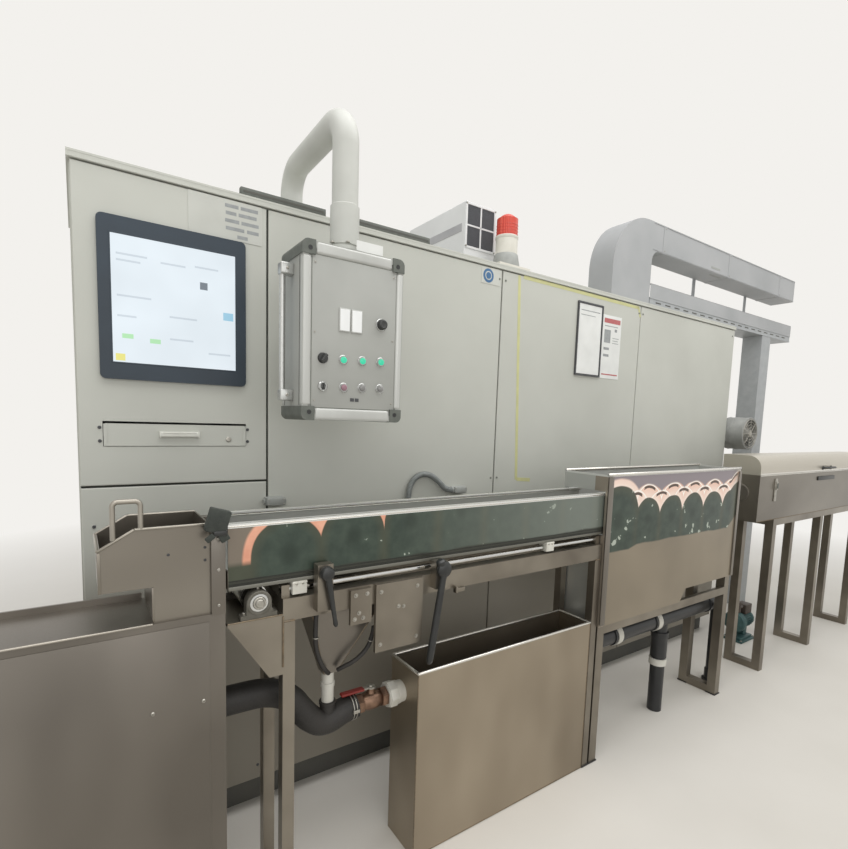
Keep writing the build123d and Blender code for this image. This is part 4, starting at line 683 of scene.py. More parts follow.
def screws(depth, diameter, places, finish="bolt"):
    """Such screws in a front face at this depth, each at its place (x, z)."""
    return repeated(screw((0, depth, 0), OUT, diameter, finish), [(x, 0, z) for x, z in places])


def bolt(place, axis, across):
    """A hexagon bolt head on its washer."""
    washer, top = across * 0.14, across * 0.6
    rings = [(0, across * 0.85), (washer, across * 0.85), (washer, across * 0.5)]
    ends = [tuple(p + a * h for p, a in zip(place, axis)) for h in (washer, top)]
    return coated("bolt", turned(place, axis, rings, 24),
                  bar(*ends, across * 1.1, across * 0.08, 6))


def slabs(finish, limits, edge=0.3):
    """Flat slabs in one finish, each given by its six limits."""
    return coated(finish, *[box(*each, edge, 1) for each in limits])


def flats(finish, depth, limits, edge=0.3):
    """Such slabs between two depths, each given by its limits (x0, x1, z0, z1)."""
    return slabs(finish, [(x0, x1, *depth, z0, z1) for x0, x1, z0, z1 in limits], edge)


# Sizes and colours that a user would change

def number_of(name, description, value, **limits):
    """A number property with its default."""
    return bpy.props.FloatProperty(name=name, description=description, default=value, **limits)


def size_of(name, description, value):
    """A length property in metres."""
    return number_of(name, description, value, unit="LENGTH", min=0.0001, max=2.0)


def colour_of(name, description, value):
    """A colour property with its default written as sRGB hex."""
    return bpy.props.FloatVectorProperty(name=name, description=description, subtype="COLOR",
                                         size=3, min=0, max=1, default=linear(value)[:3])


class BayColours(bpy.types.PropertyGroup):
    """Colours of the bay and of the room it stands in"""
    sheet: colour_of("Cabinet sheet", "Powder coat of the cabinet and its covers", 0xC0C1B9)
    sheet_worn: colour_of("Dulled sheet", "The coat where hands and dust dulled it", 0xB6B7AF)
    floor: colour_of("Floor", "Plain pale floor under the bay", 0xD8D4CD)
    backdrop: colour_of("Backdrop", "What the camera sees behind the bay", 0xF3F1ED)


class BaySizes(bpy.types.PropertyGroup):
    """Sizes of the small parts"""
    peel: size_of("Orange peel", "Grain of the powder coat", 0.004)
    # Width of the dark strips that paint the shade in the gaps between the covers.
    seam_shade_width: size_of("Seam shade width", "Dark strips of painted shade in the gaps between the covers", 0.0052)
    cover_screw: size_of("Cover screw", "Head of the screws beside the cover seams", 0.009)
    button: size_of("Button", "Lens of a push button on the hanging box", 0.018)
    guard_wire: size_of("Guard wire", "Wire of the fan guard", 0.0035)
    rim_bar: size_of("Rim bar", "Rolled edge round the open water tank", 0.009)
    weld: size_of("Weld", "Bead where the frame tubes meet", 0.005)
    conduit: size_of("Conduit", "Outside of the ribbed conduit", 0.022)
    drip_hose: size_of("Drip hose", "Outside of the two small hoses on the funnel", 0.012)
    drain_hose: size_of("Drain hose", "Outside of the thick sagging hose", 0.07)


class StageSettings(bpy.types.PropertyGroup):
    """Camera and light"""
    eye: bpy.props.FloatVectorProperty(name="Eye", description="Camera's place", size=3,
                                       unit="LENGTH", default=(-1.695, -1.9, 1.3))
    heading: number_of("Heading", "Turn from +Y towards +X", math.radians(34.31),
                       subtype="ANGLE")
    dip: number_of("Dip", "Look below the horizon", math.radians(5.72), subtype="ANGLE")
    roll: number_of("Roll", "Lean of the picture", math.radians(1.84), subtype="ANGLE")
    lens: number_of("Lens", "Focal length in millimetres", 21.63, min=5.0, max=200.0)
    rise: number_of("Rise", "Upward shift of the frame", 0.056)
    ceiling: number_of("Ceiling light", "Watts of the wide light overhead", 180.0, min=0.0,
                       subtype="POWER")
    front: number_of("Front light", "Watts of the wide light before the line", 48.0, min=0.0,
                     subtype="POWER")
    sky: number_of("Surround", "Strength of the pale room all round", 0.5, min=0.0, max=2.0)


# Stage

class BAY_OT_stage(bpy.types.Operator):
    """Pale floor, soft lights and the camera of the bay"""
    bl_idname = "bay.stage"
    bl_label = "Stage"

    def execute(self, context):
        settings, colours = context.scene.bay_stage, context.scene.bay_colours
        backdrop = (*colours.backdrop, 1.0)
        alone()
        bpy.ops.mesh.primitive_plane_add(size=60, location=(0, 0, -0.0005))
        floor = context.object
        floor.name = "floor"
        material, tree, place = new_finish("sealed_concrete_floor")
        cloud = add(tree, "TexNoise", {"Vector": place, "Scale": 1.5, "Detail": 4.0})
        even = add(tree, "MapRange", {"Value": cloud, "From Min": 0.3, "From Max": 0.7,
                                      "To Max": 0.25})
        tone = add(tree, "Mix", {0: even, 6: (*colours.floor, 1.0), 7: linear(0xB9B4AA)},
                   data_type="RGBA")
        shader = add(tree, "BsdfPrincipled", {"Base Color": tone, "Roughness": 0.6})
        away = add(tree, "VectorMath", {0: place, 1: (0.6, -0.2, 0.0)}, operation="DISTANCE")
        far = add(tree, "MapRange", {"Value": away, "From Min": 2.8, "From Max": 5.8})
        glow = add(tree, "Emission", {"Color": backdrop})
        faded = add(tree, "MixShader", {0: far, 1: shader, 2: glow})
        add(tree, "OutputMaterial", {"Surface": faded})
        floor.data.materials.append(material)

        world = bpy.data.worlds.new("pale_room")
        context.scene.world = world
        world.use_nodes = True
        tree = world.node_tree
        tree.nodes.clear()
        rays = add(tree, "LightPath").outputs
        seen = add(tree, "Math", {0: rays["Is Camera Ray"], 1: rays["Is Glossy Ray"]},
                   operation="MAXIMUM")
        seen = add(tree, "Math", {0: seen, 1: rays["Is Transmission Ray"]},
                   operation="MAXIMUM")
        light = add(tree, "Background", {"Color": linear(0xF2F2EE), "Strength": settings.sky})
        back = add(tree, "Background", {"Color": backdrop})
        mixed = add(tree, "MixShader", {0: seen, 1: light, 2: back})
        add(tree, "OutputWorld", {"Surface": mixed})

        for name, spot, aim, wide, deep, power in (
                ("ceiling_light", (0.2, -1.4, 4.6), (0.3, -0.3, 0.6), 7.0, 3.0, settings.ceiling),
                ("front_light", (-1.6, -4.6, 2.4), (0.4, -0.4, 0.9), 5.0, 2.6, settings.front)):
            bpy.ops.object.light_add(type="AREA", location=spot)
            lamp = context.object
            lamp.name = name
            lamp.data.shape = "RECTANGLE"
            lamp.data.size, lamp.data.size_y, lamp.data.energy = wide, deep, power
            turn = (Vector(aim) - Vector(spot)).to_track_quat("-Z", "Y")
            lamp.rotation_euler = turn.to_euler()

        bpy.ops.object.camera_add()
        camera = context.object
        camera.name = "camera"
        forward = Vector((math.sin(settings.heading), math.cos(settings.heading), 0))
        right = Vector((math.cos(settings.heading), -math.sin(settings.heading), 0))
        up = Vector(UP)
        look = forward * math.cos(settings.dip) - up * math.sin(settings.dip)
        over = up * math.cos(settings.dip) + forward * math.sin(settings.dip)
        side = right * math.cos(settings.roll) + over * math.sin(settings.roll)
        top = over * math.cos(settings.roll) - right * math.sin(settings.roll)
        turn = Matrix((side, top, -look)).transposed().to_4x4()
        camera.matrix_world = Matrix.Translation(Vector(settings.eye)) @ turn
        camera.data.sensor_fit = "HORIZONTAL"
        camera.data.sensor_width = 36.0
        camera.data.lens = settings.lens
        camera.data.shift_y = settings.rise
        context.scene.camera = camera
        context.scene.view_settings.view_transform = "Standard"
        return {"FINISHED"}


class BAY_OT_finishes(bpy.types.Operator):
    """Mix all the finishes and give the solids theirs"""
    bl_idname = "bay.finishes"
    bl_label = "Finishes"

    def execute(self, context):
        make_finishes()
        for finish, nodes in NODE_FINISH.items():
            for node in nodes:
                if not NODES[node].material_slots:
                    raise RuntimeError("no material slot on " + node)
                for place in NODES[node].material_slots:
                    place.material = FINISHES[finish]
        return {"FINISHED"}


# Cabinet

class BAY_OT_cabinet_trim(bpy.types.Operator):
    """Dark strips of painted shade in the seams, cover screws, roof strips and the roof's drip edge
    """
    bl_idname = "bay.cabinet_trim"
    bl_label = "Cabinet trim"

    def execute(self, context):
        sizes = context.scene.bay_sizes
        half, head = sizes.seam_shade_width * 500, sizes.cover_screw * 1000
        left, middle, right, low = 493, 1448, 2403, 1097     # seams between the covers
        heights = (150, 1072, 1880)
        seam_shades = []
        # Dark strips in the seams between the covers: painted shade in the gaps.
        for x, finish in ((left, "gap"), (middle, "gap"), (right, "faint_gap")):
            seam_shades += coated(finish, box(x - half, x + half, 6, 19, 104, 1916, 0.5))
        seam_shades += coated("gap", box(4, left - 4, 6, 19, low - half, low + half, 0.5))
        fitted("cover_seam_shade_strips", seam_shades, "machine")

        columns = [x + side * 17 for x in (middle, right) for side in (-1, 1)] + [3360]
        heads = screws(0, head, [(x, z) for x in columns for z in heights], "faint_gap")
        drawer = [(x, z) for x in (49, 432) for z in (1256, 1220)]
        heads += screws(0, head, drawer + [(30, 990), (30, 150), (462, 150)], "board_rim")
        fitted("cover_screws", heads, "machine")

        strips = []
        for x0, x1 in ((414, 679), (785, 1084)):
            strips += coated("cap", box(x0, x1, -3, 16, 1940, 1962, 2))
            strips += flats("plinth", (-3.6, -2.8), [(x0 + 8, x1 - 8, 1948, 1954)])
        fitted("roof_strips", strips, "machine")
        lips = slabs("sheet", [(-4, 3394, -5, -4, 1921, 1924),
                               (-3, 3393, -4.6, -3.6, 1934, 1937)], 0.4)
        fitted("roof_drip_edge", lips, "machine")
        return {"FINISHED"}


class BAY_OT_operator_screen(bpy.types.Operator):
    """A generic page on the lit screen and the inner rim of its frame"""
    bl_idname = "bay.operator_screen"
    bl_label = "Operator screen"

    def execute(self, context):
        page = flats("screen_grey", (-11.3, -11), [(x0, x1, z, z + 5) for x0, x1, z in (
            (96, 168, 1706), (96, 152, 1690), (200, 262, 1700), (286, 348, 1706),
            (96, 176, 1600), (220, 290, 1560), (96, 140, 1548), (220, 280, 1500),
            (320, 380, 1470))], 0.1)
        for finish, *limits in (("screen_dark", 299, 319, 1649, 1669),
                                ("screen_blue", 361, 389, 1572, 1594),
                                ("screen_yellow", 90, 112, 1434, 1452),
                                ("screen_green", 106, 132, 1493, 1505),
                                ("screen_green", 171, 197, 1486, 1498)):
            page += flats(finish, (-11.4, -11), [limits], 0.1)
        fitted("screen_page", page, "machine")
        rim = flats("bezel", (-12.6, -11.6), [
            (80, 399, 1757, 1761), (80, 399, 1426, 1430), (80, 84, 1430, 1757),
            (395, 399, 1430, 1757)], 0.4)
        fitted("screen_inner_rim", rim, "machine")
        return {"FINISHED"}


class BAY_OT_drawer_fittings(bpy.types.Operator):
    """Finger grip, lock and front lip of the keyboard drawer"""
    bl_idname = "bay.drawer_fittings"
    bl_label = "Drawer fittings"

    def execute(self, context):
        pull = coated("grip", box(198, 286, -13, -11.5, 1242, 1246, 0.6),
                      *[box(x, x + 4, -11.5, 0, 1230, 1248, 1) for x in (190, 290)])
        pull += coated("bolt", turned((376, 0, 1226), OUT, [
            (0, 8), (2, 8), (3, 6.5), (3, 4), (1.5, 3.8)], 24))
        fitted("drawer_pull", pull, "drawer")
        lip = flats("sheet", (-1.6, -0.3), [
            (57.5, 66, 1206.5, 1266), (418, 426.5, 1206.5, 1266), (66, 418, 1206.5, 1214)], 0.15)
        lip += flats("sheet", (-0.4, 0), [
            (63, 66, 1213, 1265), (418, 421, 1213, 1265), (66, 418, 1212, 1214)], 0.15)
        fitted("drawer_front_lip", lip, "drawer")
        return {"FINISHED"}


class BAY_OT_notices(bpy.types.Operator):
    """Blank plates, the board's sheet, the wall sheet and the pale tape on the covers"""
    bl_idname = "bay.notices"
    bl_label = "Notices and tape"

    def execute(self, context):
        plates = flats("label", (-1.4, 0), [(272, 475, 1805, 1916)], 0.4)
        plates += flats("label", (-1.2, 0), [(1335, 1435, 1851, 1914)], 0.4)
        plates += flats("ink", (-1.6, -1.3), [(x, x + wide, z, z + 10) for x, wide, z in (
            (370, 38, 1894), (414, 50, 1894), (372, 30, 1874), (408, 52, 1874), (370, 40, 1853),
            (416, 50, 1853), (372, 52, 1832), (432, 34, 1832), (404, 30, 1812))], 0.1)
        for finish, y, radius in (("blue_print", -1.2, 27), ("label", -1.6, 17),
                                  ("blue_print", -2.0, 13)):
            plates += coated(finish, turned((1371, y, 1883), OUT, [
                (0, radius), (0.4, radius), (0.5, radius - 1)], 48))
        fitted("blank_plates", plates, "machine")

        sheet = flats("paper", (-5.2, -4), [(1923, 2085, 1545, 1862)])
        sheet += flats("ink", (-5.5, -5.1), [(1936, 2072, 1832, 1836),
                                             (1936, 2040, 1812, 1815)], 0.1)
        fitted("board_sheet", sheet, "machine")

        wall = flats("paper", (-1.2, 0), [(2103, 2247, 1535, 1837)], 0.4)
        wall += flats("red_print", (-1.5, -1.1), [(2113, 2237, 1800, 1822),
                                                  (2113, 2237, 1552, 1558)], 0.1)
        wall += flats("ink", (-1.5, -1.1), [
            (2118, 2166, 1706, 1768), (2196, 2214, 1762, 1776), (2118, 2160, 1672, 1684),
            (2118, 2160, 1640, 1652), (2118, 2220, 1784, 1788), (2182, 2232, 1730, 1733),
            (2182, 2226, 1718, 1721), (2182, 2230, 1706, 1709)], 0.1)
        fitted("wall_sheet", wall, "machine")

        tapes = []
        for x0, z0, x1, z1, wide in (
                (1541, 1914, 1578, 1058, 15), (1566, 1912, 2376, 1906, 15),
                (2376, 1913, 2398, 1862, 13), (1582, 1060, 1664, 1054, 16),
                (2160, 1066, 2396, 1058, 14)):
            length = math.hypot(x1 - x0, z1 - z0)
            lean = math.degrees(math.atan2(z1 - z0, x1 - x0))
            strip = flats("tape", (-0.7, 0), [(x0, x0 + length, z0 - wide / 2, z0 + wide / 2)],
                          0.2)
            tapes.append(leaned(*strip, (x0, 0, z0), "Y", -lean))
        fitted("cover_tape", tapes, "machine")
        return {"FINISHED"}


class BAY_OT_glands_and_conduit(bpy.types.Operator):
    """Small terminal boxes on the covers and the ribbed conduit that loops from one"""
    bl_idname = "bay.glands_and_conduit"
    bl_label = "Terminal boxes and conduit"

    def execute(self, context):
        one = coated("block", box(-31, 31, -26, 0, 0, 27, 4), box(-30, 30, -34, -27, 1, 26, 4))
        # A dark strip of painted shade in the seam between the box and its lid.
        one += coated("gap", box(-29, 29, -27.5, -25.5, 2, 25, 1))
        one += screws(-34, 4, [(x, z) for x in (-24, 24) for z in (6, 21)])
        one += coated("block", bar((-31, -17, 14), (-37, -17, 14), 18, 1.2, 6),
                      bar((31, -17, 13), (35, -17, 13), 14, 1, 6))
        places = ((512, 0, 1019), (1250, 0, 1019), (2140, 0, 1061), (2850, 0, 1065))
        fitted("terminal_boxes", repeated(one, places), "machine",
               ("grey_blocks",))
        width = context.scene.bay_sizes.conduit * 1000
        route = ((1219, -17, 1033), (1188, -17, 1033), (1150, -17, 1070), (1106, -17, 1100),
                 (1050, -17, 1098), (1018, -17, 1060), (1014, -17, 1010), (1014, -14, 972),
                 (1014, 0, 966))
        hose = coated("flex", tube(route, width * 0.86))
        hose += coated("flex", *[hoop(spot, way, width * 0.88, width * 0.12, 20)
                                 for spot, way in stations(route, 5)])
        hose += coated("block", bar((1214, -17, 1033), (1222, -17, 1033), width + 4, 1.5, 6),
                       turned((1014, 0, 967), OUT, [(0, 17), (4, 17), (6, 15), (10, 13)]))
        fitted("ribbed_conduit", hose, "machine", ("conduit",))
        return {"FINISHED"}


class BAY_OT_roof_units(bpy.types.Operator):
    """Mesh panes, rims and screws of the cooling unit, and the rings of the beacon"""
    bl_idname = "bay.roof_units"
    bl_label = "Cooling unit and beacon"

    def execute(self, context):
        unit = flats("mesh", (149.2, 150.4), [(x, x + 68, z, z + 78)
                                              for x in (1373, 1449) for z in (2039, 2124)])
        unit += flats("cooler", (147, 150), [
            (1362, 1372, 2030, 2211), (1518, 1528, 2030, 2211), (1362, 1528, 2203, 2212),
            (1362, 1528, 2028, 2038)], 1.0)
        unit += flats("cooler", (147.6, 150), [(1441, 1449, 2037, 2204),
                                               (1371, 1519, 2117, 2124)], 1.0)
        unit += flats("stripe", (170, 562), [(1358.6, 1360, 2097, 2130),
                                             (1530, 1531.4, 2097, 2130)], 0.4)
        unit += flats("plinth", (146, 584), [(1356, 1534, 1940, 1950)], 0.4)
        unit += screws(147, 7, [(x, z) for x in (1367, 1523) for z in (2036, 2206)])
        unit += flats("grille", (148.5, 150), [(1375, 1515, z, z + 4)
                                               for z in (1962, 1976, 1990)], 0.4)
        fitted("cooling_unit_trim", unit, "machine")

        x, y = 1515, 60
        lamp = coated("block", turned((x, y, 1950), UP, [
            (0, 58), (6, 58), (30, 53), (50, 50), (54, 46.4)], 48))
        lamp += coated("beacon_base", turned((x, y, 2064), UP, [
            (0, 46.2), (2, 47.6), (11, 47.6), (13, 46)], 48))
        lamp += repeated(screw((0, 0, 1950), UP, 10), [(x + right, y + deep, 0)
                                                       for right in (-71, 71)
                                                       for deep in (-46, 46)])
        lamp += coated("beacon", *[hoop(at(x, y, z), UP, 88.4, 2.2)
                                   for z in (2084, 2096, 2108, 2120)])
        fitted("beacon_rings", lamp, "machine")
        return {"FINISHED"}


class BAY_OT_end_fan(bpy.types.Operator):
    """Wire guard, hub and fixing bands of the fan at the end of the cabinet"""
    bl_idname = "bay.end_fan"
    bl_label = "End fan"

    def execute(self, context):
        wire = context.scene.bay_sizes.guard_wire * 1000
        x, z = 3490, 1286
        guard = coated("bolt", *[hoop(at(x, -97, z), (0, 1, 0), across, wire)
                                 for across in (44, 78, 112, 146, 176)])
        guard += ringed(coated("bolt", bar((x + 20, -98, z), (x + 92, -96, z), wire, 0, 10)),
                        (x, -97, z), "Y", range(0, 360, 45))
        guard += coated("bolt", turned((x, -96, z), OUT, [(0, 19), (2, 19), (4, 14)]))
        guard += coated("fan_dark", turned((x, -53, z), OUT, [(0, 83.4), (0.6, 83.4), (1, 82)],
                                           48))
        guard += coated("fan", *[hoop(at(x, y, z), (0, 1, 0), across, band)
                                 for y, across, band in ((-92, 198, 7), (-20, 200, 5),
                                                         (24, 200, 5))])
        fitted("fan_guard", guard, "machine")
        return {"FINISHED"}


class BAY_OT_duct_and_tray(bpy.types.Operator):
    """Joint straps, ribs and screws of the cable duct, front plate of the tray and its slots in
    painted shade
    """
    bl_idname = "bay.duct_and_tray"
    bl_label = "Cable duct and tray"

    def execute(self, context):
        face = 118.4                       # front of the straps; the duct's own front is at 120
        strap = slabs("duct", [(-16, 16, face, 120, 2275, 2424),
                               (-16, 16, face, 272, 2273.4, 2275)], 0.5)
        strap += screws(face, 7, [(0, z) for z in (2290, 2410)])
        duct = repeated(strap, [(x, 0, 0) for x in (2760, 3500, 4240)])
        duct += flats("duct", (face, 120), [(2312, 2647, 1942, 1966)], 0.5)
        duct += repeated(screw((2330, face, 1954), OUT, 8), [(75 * k, 0, 0) for k in range(5)])
        duct += slabs("block", [(3276, 3384, 119, 120.4, 2298, 2310),
                                (3328, 3455, 146, 162, 2274, 2275.4)], 0.4)
        duct += flats("duct", (117.6, 120), [(2651, 4478, z, z + 3) for z in (2279, 2418)], 0.5)
        fitted("duct_joints", duct, "machine")

        tray = flats("galvanised", (117.8, 121), [(2653, 4480, 2021, 2025.6),
                                                  (2653, 4480, 1980, 1984)], 0.6)
        # Dark slabs stand for the tray's slots: painted shade where the openings are.
        tray += repeated(coated("plinth", box(2714, 2766, 119.2, 120.3, 1999, 2006, 0.4)),
                         [(96 * k, 0, 0) for k in range(18)])
        tray += slabs("duct", [(2652, 4480, 117, 119.6, 2018, 2098),
                               (2652, 4480, 117, 134, 2095.4, 2098)], 0.8)
        fitted("tray_lips", tray, "machine")
        return {"FINISHED"}


# Hanging control box

class BAY_OT_pendant_shell(bpy.types.Operator):
    """Rounded extrusions round the hanging box, its front panel, handle lugs and flange bolts"""
    bl_idname = "bay.pendant_shell"
    bl_label = "Hanging box"

    def execute(self, context):
        x0, x1, z0, z1 = 479.5, 774.5, 1295, 1744     # outline of the box, seen from the front
        corner = 34.5
        shell = []
        for depth in ((-331.5, -312), (-198, -178.5)):
            shell += coated("profile",
                            *[box(*across, *depth, z0 + corner, z1 - corner, 8, 5)
                              for across in ((x0 - 1.5, x0 + 25), (x1 - 20, x1 + 1.5))],
                            *[box(x0 + corner, x1 - corner, *depth, *height, 8, 5)
                              for height in ((z0 - 1.5, z0 + 31), (z1 - 31, z1 + 1.5))])
        # A faint strip of painted shade in the gap round the front panel.
        shell += flats("faint_gap", (-327, -325.8), [(x0 + 24, x1 - 19, z0 + 30, z1 - 30)], 0.4)
        shell += coated("pendant", box(x0 + 26, x1 - 21, PANEL, -326.6, z0 + 32, z1 - 32, 0.7))
        shell += screws(PANEL, 5, [(x, z) for x in (x0 + 34, x1 - 29)
                                   for z in (z0 + 50, 1520, z1 - 50)])
        for x, side in ((x0, -1), (x1, 1)):
            # Dark slits of painted shade in the seams of the profiles.
            shell += slabs("gap", [(x - 0.8, x + 0.8, y, y + 1.4, z0 + 36, z1 - 36)
                                   for y in (-311, -200.4)])
            ends = sorted((x, x + side * 35))
            for z in (z0 + 62, z1 - 62):
                shell += coated("handle", box(*ends, -270, -240, z - 15, z + 15, 4, 3))
                shell += screw((x + side * 18, -270, z), OUT, 8)
        shell += flats("paper", (-327, -325.5), [(629, 709, 1746, 1772)])
        fitted("pendant_profiles", shell, "pendant")

        mark = coated("black", turned((0, -332.5, 0), OUT, [
            (0, 6), (0.6, 6), (0.6, 3.4), (0.1, 3.2)], 20))
        marks = repeated(mark, [(x, 0, z) for x in (x0 + 19, x1 - 19)
                                for z in (z0 + 19, z1 - 19)])
        fitted("cap_screws", marks, "pendant")

        ring = coated("tube", turned((627, -255, 1771), UP, [(0, 40), (104, 40), (107, 37)], 48),
                      hoop(at(627, 170, 1960), UP, 76, 6))
        ring += ringed(bolt((670.5, -255, 1771.3), UP, 7), (627, -255, 1771), "Z",
                       range(17, 377, 60))
        ring += ringed(bolt((681, 170, 1958), UP, 9), (627, 170, 1958), "Z", range(0, 360, 60))
        fitted("arm_flange_bolts", ring, "machine")
        return {"FINISHED"}


class BAY_OT_pendant_controls(bpy.types.Operator):
    """Meters, selector, knob, key switch and push buttons on the hanging box"""
    bl_idname = "bay.pendant_controls"
    bl_label = "Controls"

    def execute(self, context):
        lens = context.scene.bay_sizes.button * 500
        parts = []
        for x0, x1 in ((583, 610), (618, 646)):
            parts += coated("profile", box(x0 - 2.5, x1 + 2.5, PANEL - 3.6, PANEL, 1529, 1590,
                                           1.2))
            # Meter faces with a painted glow.
            parts += coated("meter_glow", box(x0, x1, PANEL - 5.2, PANEL - 3.4, 1532, 1587, 1))
        parts += coated("button_ring", turned((708, PANEL, 1561), OUT, [
            (0, 17), (2, 17), (3.4, 15.5)], 40))
        parts += coated("button_dark", turned((708, PANEL - 3.4, 1561), OUT, [
            (0, 14.5), (9, 13.4), (12, 11.5), (13, 9), (12, 7)], 40))
        base = coated("button_ring", turned((0, PANEL, 0), OUT, [
            (0, lens + 4), (1.6, lens + 4), (2.6, lens + 2.6), (5, lens + 2), (5, lens),
            (4, lens - 0.3)], 36))
        places = ((594, 1455, "green_lamp"), (651, 1457, "green_lamp"),
                  (708, 1459, "green_lamp"), (596, 1382, "button_mauve"),
                  (651, 1384, "button_grey"), (707, 1385, "button_grey"))
        parts += repeated(base, [(x, 0, z) for x, z, _ in places])
        for x, z, finish in places:
            parts += coated(finish, turned((x, PANEL - 4, z), OUT, [
                (0, lens - 0.6), (3.4, lens - 0.8), (4.8, lens - 3), (5.3, lens - 6)], 36))
        selector = (536, PANEL, 1455)
        parts += coated(
            "button_dark", turned(selector, OUT, [(0, 14), (3, 14), (6, 12.5), (6, 9)], 36),
            leaned(box(531.5, 540.5, PANEL - 17, PANEL - 5, 1443, 1467, 2.4), selector, "Y", 35),
            box(534.4, 537.6, PANEL - 15, PANEL - 3, 1373, 1391, 0.8))
        parts += coated("button_ring", turned((536, PANEL, 1382), OUT, [
            (0, 13), (4, 13), (6, 11), (6, 8), (3, 7.6)], 36))
        parts += flats("board_rim", (PANEL - 1.6, PANEL), [(x, x + 11, 1346, 1355)
                                                           for x in (617, 631)])
        fitted("control_set", parts, "pendant", ("pendant_controls",))
        return {"FINISHED"}


# Line

class BAY_OT_entry(bpy.types.Operator):
    """Hemmed rims and rivets of the entry box and its stand, and the strap on its post"""
    bl_idname = "bay.entry"
    bl_label = "Entry"

    def execute(self, context):
        rims = []
        for y, _ in TROUGH_SIDES:
            rims += coated("hem", bar((89, y, 1063), (232, y, 1063), 6, 1.2, 16),
                           bar((25, y, 1025), (89, y, 1063), 6, 1.2, 16))
        rims += coated("hem", bar((25, -441, 1025), (25, -271, 1025), 6, 1.2, 16))
        rims += coated("stainless", box(24, 30, -442.5, -438, 939, 1022, 1),
                       box(118, 122, -442.5, -440, 864, 938, 0.8))
        rims += screws(-441, 6, ((150, 1004), (222, 1012), (222, 984)), "board_rim")
        fitted("entry_rims", rims, "machine")

        stand = coated("hem", bar((-215, -448, 862), (118, -448, 862), 5, 1, 14))
        stand += coated("stainless_up", box(-209, 228, -449.6, -447.5, 30, 846, 0.8))
        stand += screws(-449.6, 9, ((114, 668), (-196, 668), (114, 60), (-196, 60), (214, 668),
                                    (214, 60)))
        stand += coated("stainless_up", box(233, 263, -449, -447.4, 858, 1049, 0.6))
        stand += screws(-449, 7, [(248, z) for z in (880, 960, 1030)])
        fitted("entry_stand_trim", stand, "machine")

        strap = []
        for limits, place, lean in (((222, 266, -471, -449, 1046, 1098, 3), (244, -460, 1070), 17),
                                    ((216, 236, -474, -466, 1034, 1046, 2), (230, -470, 1040), -38),
                                    ((240, 268, -470, -462, 1030, 1050, 2), (254, -466, 1040), 62)):
            strap += coated("strap", leaned(box(*limits), place, "Y", lean))
        strap += coated("black", box(234, 262, -473, -447, 1040, 1052, 3))
        fitted("post_strap", strap, "machine", ("post_clip",))
        return {"FINISHED"}


class BAY_OT_trough_trim(bpy.types.Operator):
    """Folded foot, rolled rims and block bolts of the sliding trough"""
    bl_idname = "bay.trough_trim"
    bl_label = "Trough trim"

    def execute(self, context):
        trim = []
        for y, side in TROUGH_SIDES:
            depth, rim = sorted((y, y + side * 2)), y - side * 6
            # Two dark lines of painted shade above the folded foot.
            trim += coated("gap", *[box(271, 1590, *depth, *z, 0.5)
                                    for z in ((916, 919), (925, 927))])
            trim += coated("lip", box(270, 1592, *depth, 905, 914, 0.9))
            trim += coated("rim", bar((270, rim, 1051.5), (1594, rim, 1051.5), 12.6, 1, 20))
        trim += coated("stainless", box(269, 272, -440, -272, 907, 950, 0.8))
        fitted("trough_lips", trim, "trough")

        bolts = []
        for x in (436, 1319):
            for y, side in TROUGH_SIDES:
                bolts += repeated(screw((x, y + side * 2, 898), (0, side, 0), 6),
                                  [(-8, 0, 0), (8, 0, 0)])
            bolts += coated("acetal", *[box(x - 19, x + 19, *depth, 899, 903, 1)
                                        for depth in ((-444.5, -407), (-305, -267.5))])
        fitted("slide_block_bolts", bolts, "trough")
        return {"FINISHED"}


class BAY_OT_frame_fittings(bpy.types.Operator):
    """Bolts, a small bracket, welds and rubber feet of the tube frames"""
    bl_idname = "bay.frame_fittings"
    bl_label = "Frame fittings"

    def execute(self, context):
        weld = context.scene.bay_sizes.weld * 1000
        parts = repeated(bolt((0, -458, 0), OUT, 7), [
            (578, 0, 785), (590, 0, 800), (602, 0, 785), (613, 0, 848), (580, 0, 848),
            (710, 0, 797), (726, 0, 794), (655, 0, 845), (770, 0, 845), (655, 0, 700),
            (770, 0, 700)])
        parts += coated("tube_steel", box(905, 943, -455, -447, 800, 812, 1),
                        box(905, 911, -462, -447, 800, 820, 1))
        fitted("frame_bolts", parts, "machine")

        legs = (393, 1560)                 # left faces of the legs under the sliding trough
        beads = [bar((x + 1, y, 812), (x + 29, y, 812), weld, 1, 10)
                 for x in legs for y in (-448.5, -263.5)]
        beads += [bar((393, -449, 700), (393, -449, 826), weld, 1, 10),
                  bar((266, -449, 831), (392, -449, 831), weld * 0.7, 1, 10)]
        fitted("frame_welds", coated("weld", *beads), "machine")

        pads = []
        for columns, rows, width in ((legs, (-448, -294), 30), ((1600, 2560), (-448, -304), 40)):
            pads += [box(x - 4, x + width + 4, y - 4, y + width + 4, 0, 5, 1.5)
                     for x in columns for y in rows]
        fitted("rubber_feet", coated("rubber", *pads), "machine")
        return {"FINISHED"}


